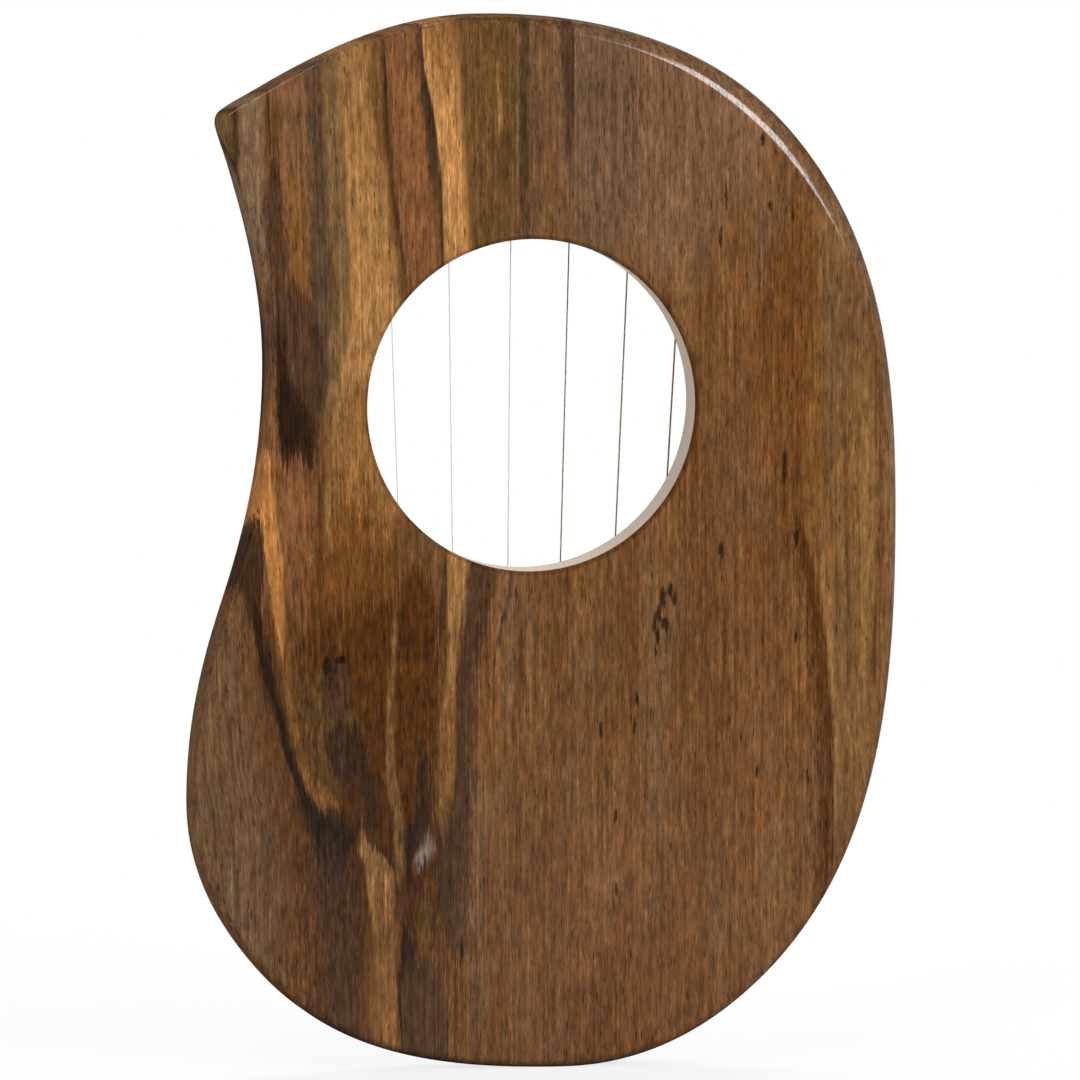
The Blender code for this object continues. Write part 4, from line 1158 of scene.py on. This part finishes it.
def slope_of(rise):
    """How steeply a stretch of string climbs."""
    return math.atan2(rise.y, math.hypot(rise.x, rise.z))


def pin_turns(pin, along, side, diameter, first, last, entry):
    """Turns on a tuning pin between two angles; with entry, the last bend goes through the eye."""
    coil = pin_radius + diameter * touch
    pitch = diameter * coil_pitch
    steps = max(8, round((last - first) / math.radians(10)))
    polar = [(first + (last - first) * k / steps, coil) for k in range(steps + 1)]
    if entry:
        polar = [spot for spot in polar if spot[0] < eye_turn - eye_bend]
        for k in range(9):
            part = k / 8
            polar.append((eye_turn - eye_bend * (1 - part) ** 1.6, coil - part**2.2 * eye_dip))
        polar.append((eye_turn, pin_radius * 0.3))
        polar.append((eye_turn, -pin_radius - stub))
    route = []
    for turn, radius in polar:
        level = eye_height - pitch * (eye_turn - turn) / (2 * math.pi)
        arm = side * math.cos(turn) + along * math.sin(turn)
        route.append(Vector((pin.x, thickness + level, pin.z)) + arm * radius)
    return route


def wire_tree(name, wound):
    """A tree that lays a wire along a path, and winds a finer one round it where the string is wound."""
    inputs = dict.fromkeys(("Wire Radius", "Wrap Radius", "Wrap Pitch"), number)
    tree, known, given = new_shape_tree(name, {**inputs, "Material": "NodeSocketMaterial"})
    path = put(tree, "GeometryNodeMeshToCurve", {0: given["Geometry"]})
    both = add_node(tree, "GeometryNodeJoinGeometry")

    def tube(route, radius, corners):
        ring = put(tree, "GeometryNodeCurvePrimitiveCircle", {"Resolution": corners, "Radius": radius})
        swept = put(tree, "GeometryNodeCurveToMesh", {
            "Curve": route, "Profile Curve": ring, "Fill Caps": True,
        })
        tree.links.new(put(tree, "GeometryNodeSetShadeSmooth", {"Geometry": swept}), both.inputs[0])

    tube(path, given["Wire Radius"], 10)
    if wound:
        spacing = calc(tree, "DIVIDE", given["Wrap Pitch"], 8.0)
        finer = put(tree, "GeometryNodeResampleCurve", {"Curve": path, "Length": spacing}, mode="LENGTH")
        run = add_node(tree, "GeometryNodeSplineParameter").outputs["Length"]
        turn = calc(tree, "MULTIPLY", calc(tree, "DIVIDE", run, given["Wrap Pitch"]), 2 * math.pi)
        normal = put(tree, "GeometryNodeInputNormal")
        tangent = put(tree, "GeometryNodeInputTangent")
        other = put(tree, "ShaderNodeVectorMath", {0: tangent, 1: normal}, operation="CROSS_PRODUCT")
        parts = []
        for direction, wave in ((normal, "COSINE"), (other, "SINE")):
            reach = calc(tree, "MULTIPLY", calc(tree, wave, turn), given["Wire Radius"])
            stretch = {0: direction, "Scale": reach}
            parts.append(put(tree, "ShaderNodeVectorMath", stretch, operation="SCALE"))
        shift = put(tree, "ShaderNodeVectorMath", dict(enumerate(parts)), operation="ADD")
        helix = put(tree, "GeometryNodeSetPosition", {"Geometry": finer, "Offset": shift})
        tube(helix, given["Wrap Radius"], 4)
    end_shape_tree(tree, both.outputs[0], given["Material"])
    return tree, known


plain_wire = wire_tree("plain_wire", False)
wound_wire = wire_tree("wound_wire", True)


def lay_string(name, route, diameter, wound):
    """A string, or the end of one, along its route."""
    path = bpy.data.meshes.new(name)
    path.from_pydata(route, [(k, k + 1) for k in range(len(route) - 1)], [])
    tree, known = wound_wire if wound else plain_wire
    wrap = diameter * wrap_share
    return run_shape_tree(add_object(name, path), tree, known, {
        "Wire Radius": diameter / 2 - wrap / 2 if wound else diameter / 2,
        "Wrap Radius": wrap / 2,
        "Wrap Pitch": wrap * wrap_pitch,
        "Material": bronze if wound else plain_steel,
    })


for index, (pin, hitch, diameter) in enumerate(zip(pin_places, hitch_places, string_diameters), start=1):
    wound = index >= wound_from
    along, side = string_direction(hitch, pin, pin_radius + diameter / 2)
    over_bridge = rod_crossing("bridge_rod", bridge_slant, hitch, along)
    over_nut = rod_crossing("nut_rod", 0.0, hitch, along)
    turns = pin_turns(pin, along, side, diameter, 0.0, eye_turn - line_end, False)
    loop = hitch_loop(hitch, side, diameter, over_bridge + Vector((0, diameter / 2, 0)))
    route = loop + over_rod(over_bridge, along, diameter, slope_of(over_bridge - loop[-1]), 0.0)
    route += over_rod(over_nut, along, diameter, 0.0, slope_of(turns[0] - over_nut)) + turns
    line = lay_string(f"string_{index}_line", route, diameter, wound)
    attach(line, "harp")
    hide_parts(f"string_{index}")
    tail_width = diameter * tail_swell
    tail_route = pin_turns(pin, along, side, tail_width, eye_turn - tail_start, eye_turn, True)
    tail = lay_string(f"string_{index}_tail", tail_route, tail_width, wound)
    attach(tail, f"pin_{index}")

# The studio: a pale floor at the harp's lowest point, and a room that is bright behind the harp and
# at its sides. Four soft lamps stand at the upper left, overhead, on the string side and at the right,
# where one draws the light line on the upper arm. The camera is left of the back's middle, a little above.
studio_white = (1.0, 1.0, 1.0, 1.0)
floor_grey = (0.8, 0.8, 0.8, 1.0)
floor_reach = 1.0
floor_material, floor_tree, floor_paint = new_material("floor")
floor_paint.inputs["Base Color"].default_value = floor_grey
floor_paint.inputs["Roughness"].default_value = 0.9
floor_paint.inputs["Specular IOR Level"].default_value = 0.0
glow = put(floor_tree, "ShaderNodeEmission", {"Color": studio_white, "Strength": 1.0})
sheen = put(floor_tree, "ShaderNodeEmission", {"Color": studio_white, "Strength": 0.3})
ray = add_node(floor_tree, "ShaderNodeLightPath").outputs
seen = calc(floor_tree, "MAXIMUM", ray["Is Camera Ray"], ray["Is Transmission Ray"])
floor_place = add_node(floor_tree, "ShaderNodeTexCoord").outputs["Object"]
distance = add_node(floor_tree, "ShaderNodeVectorMath", {0: floor_place}, operation="LENGTH")
near_harp = remap(floor_tree, distance.outputs["Value"], 0.25, 0.55, 0.8, 1.0)
white_share = calc(floor_tree, "MULTIPLY", seen, near_harp)
floor_mix = put(floor_tree, "ShaderNodeMixShader", {0: white_share, 1: floor_paint.outputs[0], 2: glow})
floor_mix = put(floor_tree, "ShaderNodeMixShader", {0: ray["Is Glossy Ray"], 1: floor_mix, 2: sheen})
floor_tree.links.new(floor_mix, floor_tree.nodes["Material Output"].inputs["Surface"])
bm = bmesh.new()
bmesh.ops.create_circle(bm, cap_ends=True, segments=96, radius=floor_reach)
for corner in bm.verts:
    corner.co.z = cad_box[0][2]
floor_mesh = bpy.data.meshes.new("floor")
bm.to_mesh(floor_mesh)
bm.free()
floor_mesh.materials.append(floor_material)
floor = add_object("floor", floor_mesh)

world = bpy.data.worlds.new("studio")
bpy.context.scene.world = world
world.use_nodes = True
sky = world.node_tree
direction = add_node(sky, "ShaderNodeTexCoord").outputs["Generated"]
to_right, to_strings, to_ceiling = add_node(sky, "ShaderNodeSeparateXYZ", {0: direction}).outputs
behind = remap(sky, to_strings, 0.1, 0.9)
right_side = remap(sky, to_right, 0.3, 0.9, 0.0, 0.8)
left_side = remap(sky, to_right, -0.9, -0.3, 0.6, 0.0)
bright_side = calc(sky, "MAXIMUM", calc(sky, "MAXIMUM", behind, right_side), left_side)
bright_side = calc(sky, "MULTIPLY", bright_side, remap(sky, to_ceiling, -0.3, -0.12))
room_light = calc(sky, "MULTIPLY_ADD", bright_side, 0.75, 0.1)
room = put(sky, "ShaderNodeBackground", {"Color": studio_white, "Strength": room_light})
backdrop = put(sky, "ShaderNodeBackground", {"Color": studio_white, "Strength": 1.0})
in_view = add_node(sky, "ShaderNodeLightPath").outputs["Is Camera Ray"]
sky_mix = put(sky, "ShaderNodeMixShader", {0: in_view, 1: room, 2: backdrop})
sky.links.new(sky_mix, sky.nodes["World Output"].inputs["Surface"])


def add_lamp(name, spot, aim, width, depth, watts, roll=0.0):
    """A soft rectangular lamp that points at a place on the harp."""
    data = bpy.data.lights.new(name, "AREA")
    data.shape = "RECTANGLE"
    data.size = width
    data.size_y = depth
    data.energy = watts
    lamp = add_object(name, data)
    lamp.location = spot
    pointed = (Vector(aim) - Vector(spot)).to_track_quat("-Z", "Y")
    lamp.rotation_euler = (pointed @ Quaternion((0, 0, 1), math.radians(roll))).to_euler()


add_lamp("soft_lamp", (-0.9, -1.6, 1.6), (0, 0, -0.05), 0.6, 0.6, 10.5)
add_lamp("arm_lamp", (0.972, -1.632, 0.585), (0.05, 0, 0.05), 0.9, 0.5, 22.0, 46.0)
add_lamp("top_lamp", (-0.3, -0.1, 1.6), (0, 0, 0), 0.8, 0.8, 5)
add_lamp("string_lamp", (0.6, 1.7, 1.3), (0, 0, -0.05), 1.4, 1.4, 42)

camera_turn = math.radians(-10.64)
camera_rise = math.radians(5.5)
camera_distance = 6.0
aim_right = 2.58 * mm
aim_down = 44.31 * mm
camera_right = Vector((math.cos(camera_turn), math.sin(camera_turn), 0))
level_sight = Vector((-math.sin(camera_turn), math.cos(camera_turn), 0))
sight = level_sight * math.cos(camera_rise) - Vector((0, 0, math.sin(camera_rise)))
camera_up = camera_right.cross(sight)
camera_data = bpy.data.cameras.new("camera")
camera_data.lens = 606.2
camera_data.sensor_width = 36.0
camera = add_object("camera", camera_data)
camera.location = camera_right * aim_right - camera_up * aim_down - sight * camera_distance
camera.rotation_euler = sight.to_track_quat("-Z", "Y").to_euler()
bpy.context.scene.camera = camera
bpy.context.scene.view_settings.view_transform = "Standard"
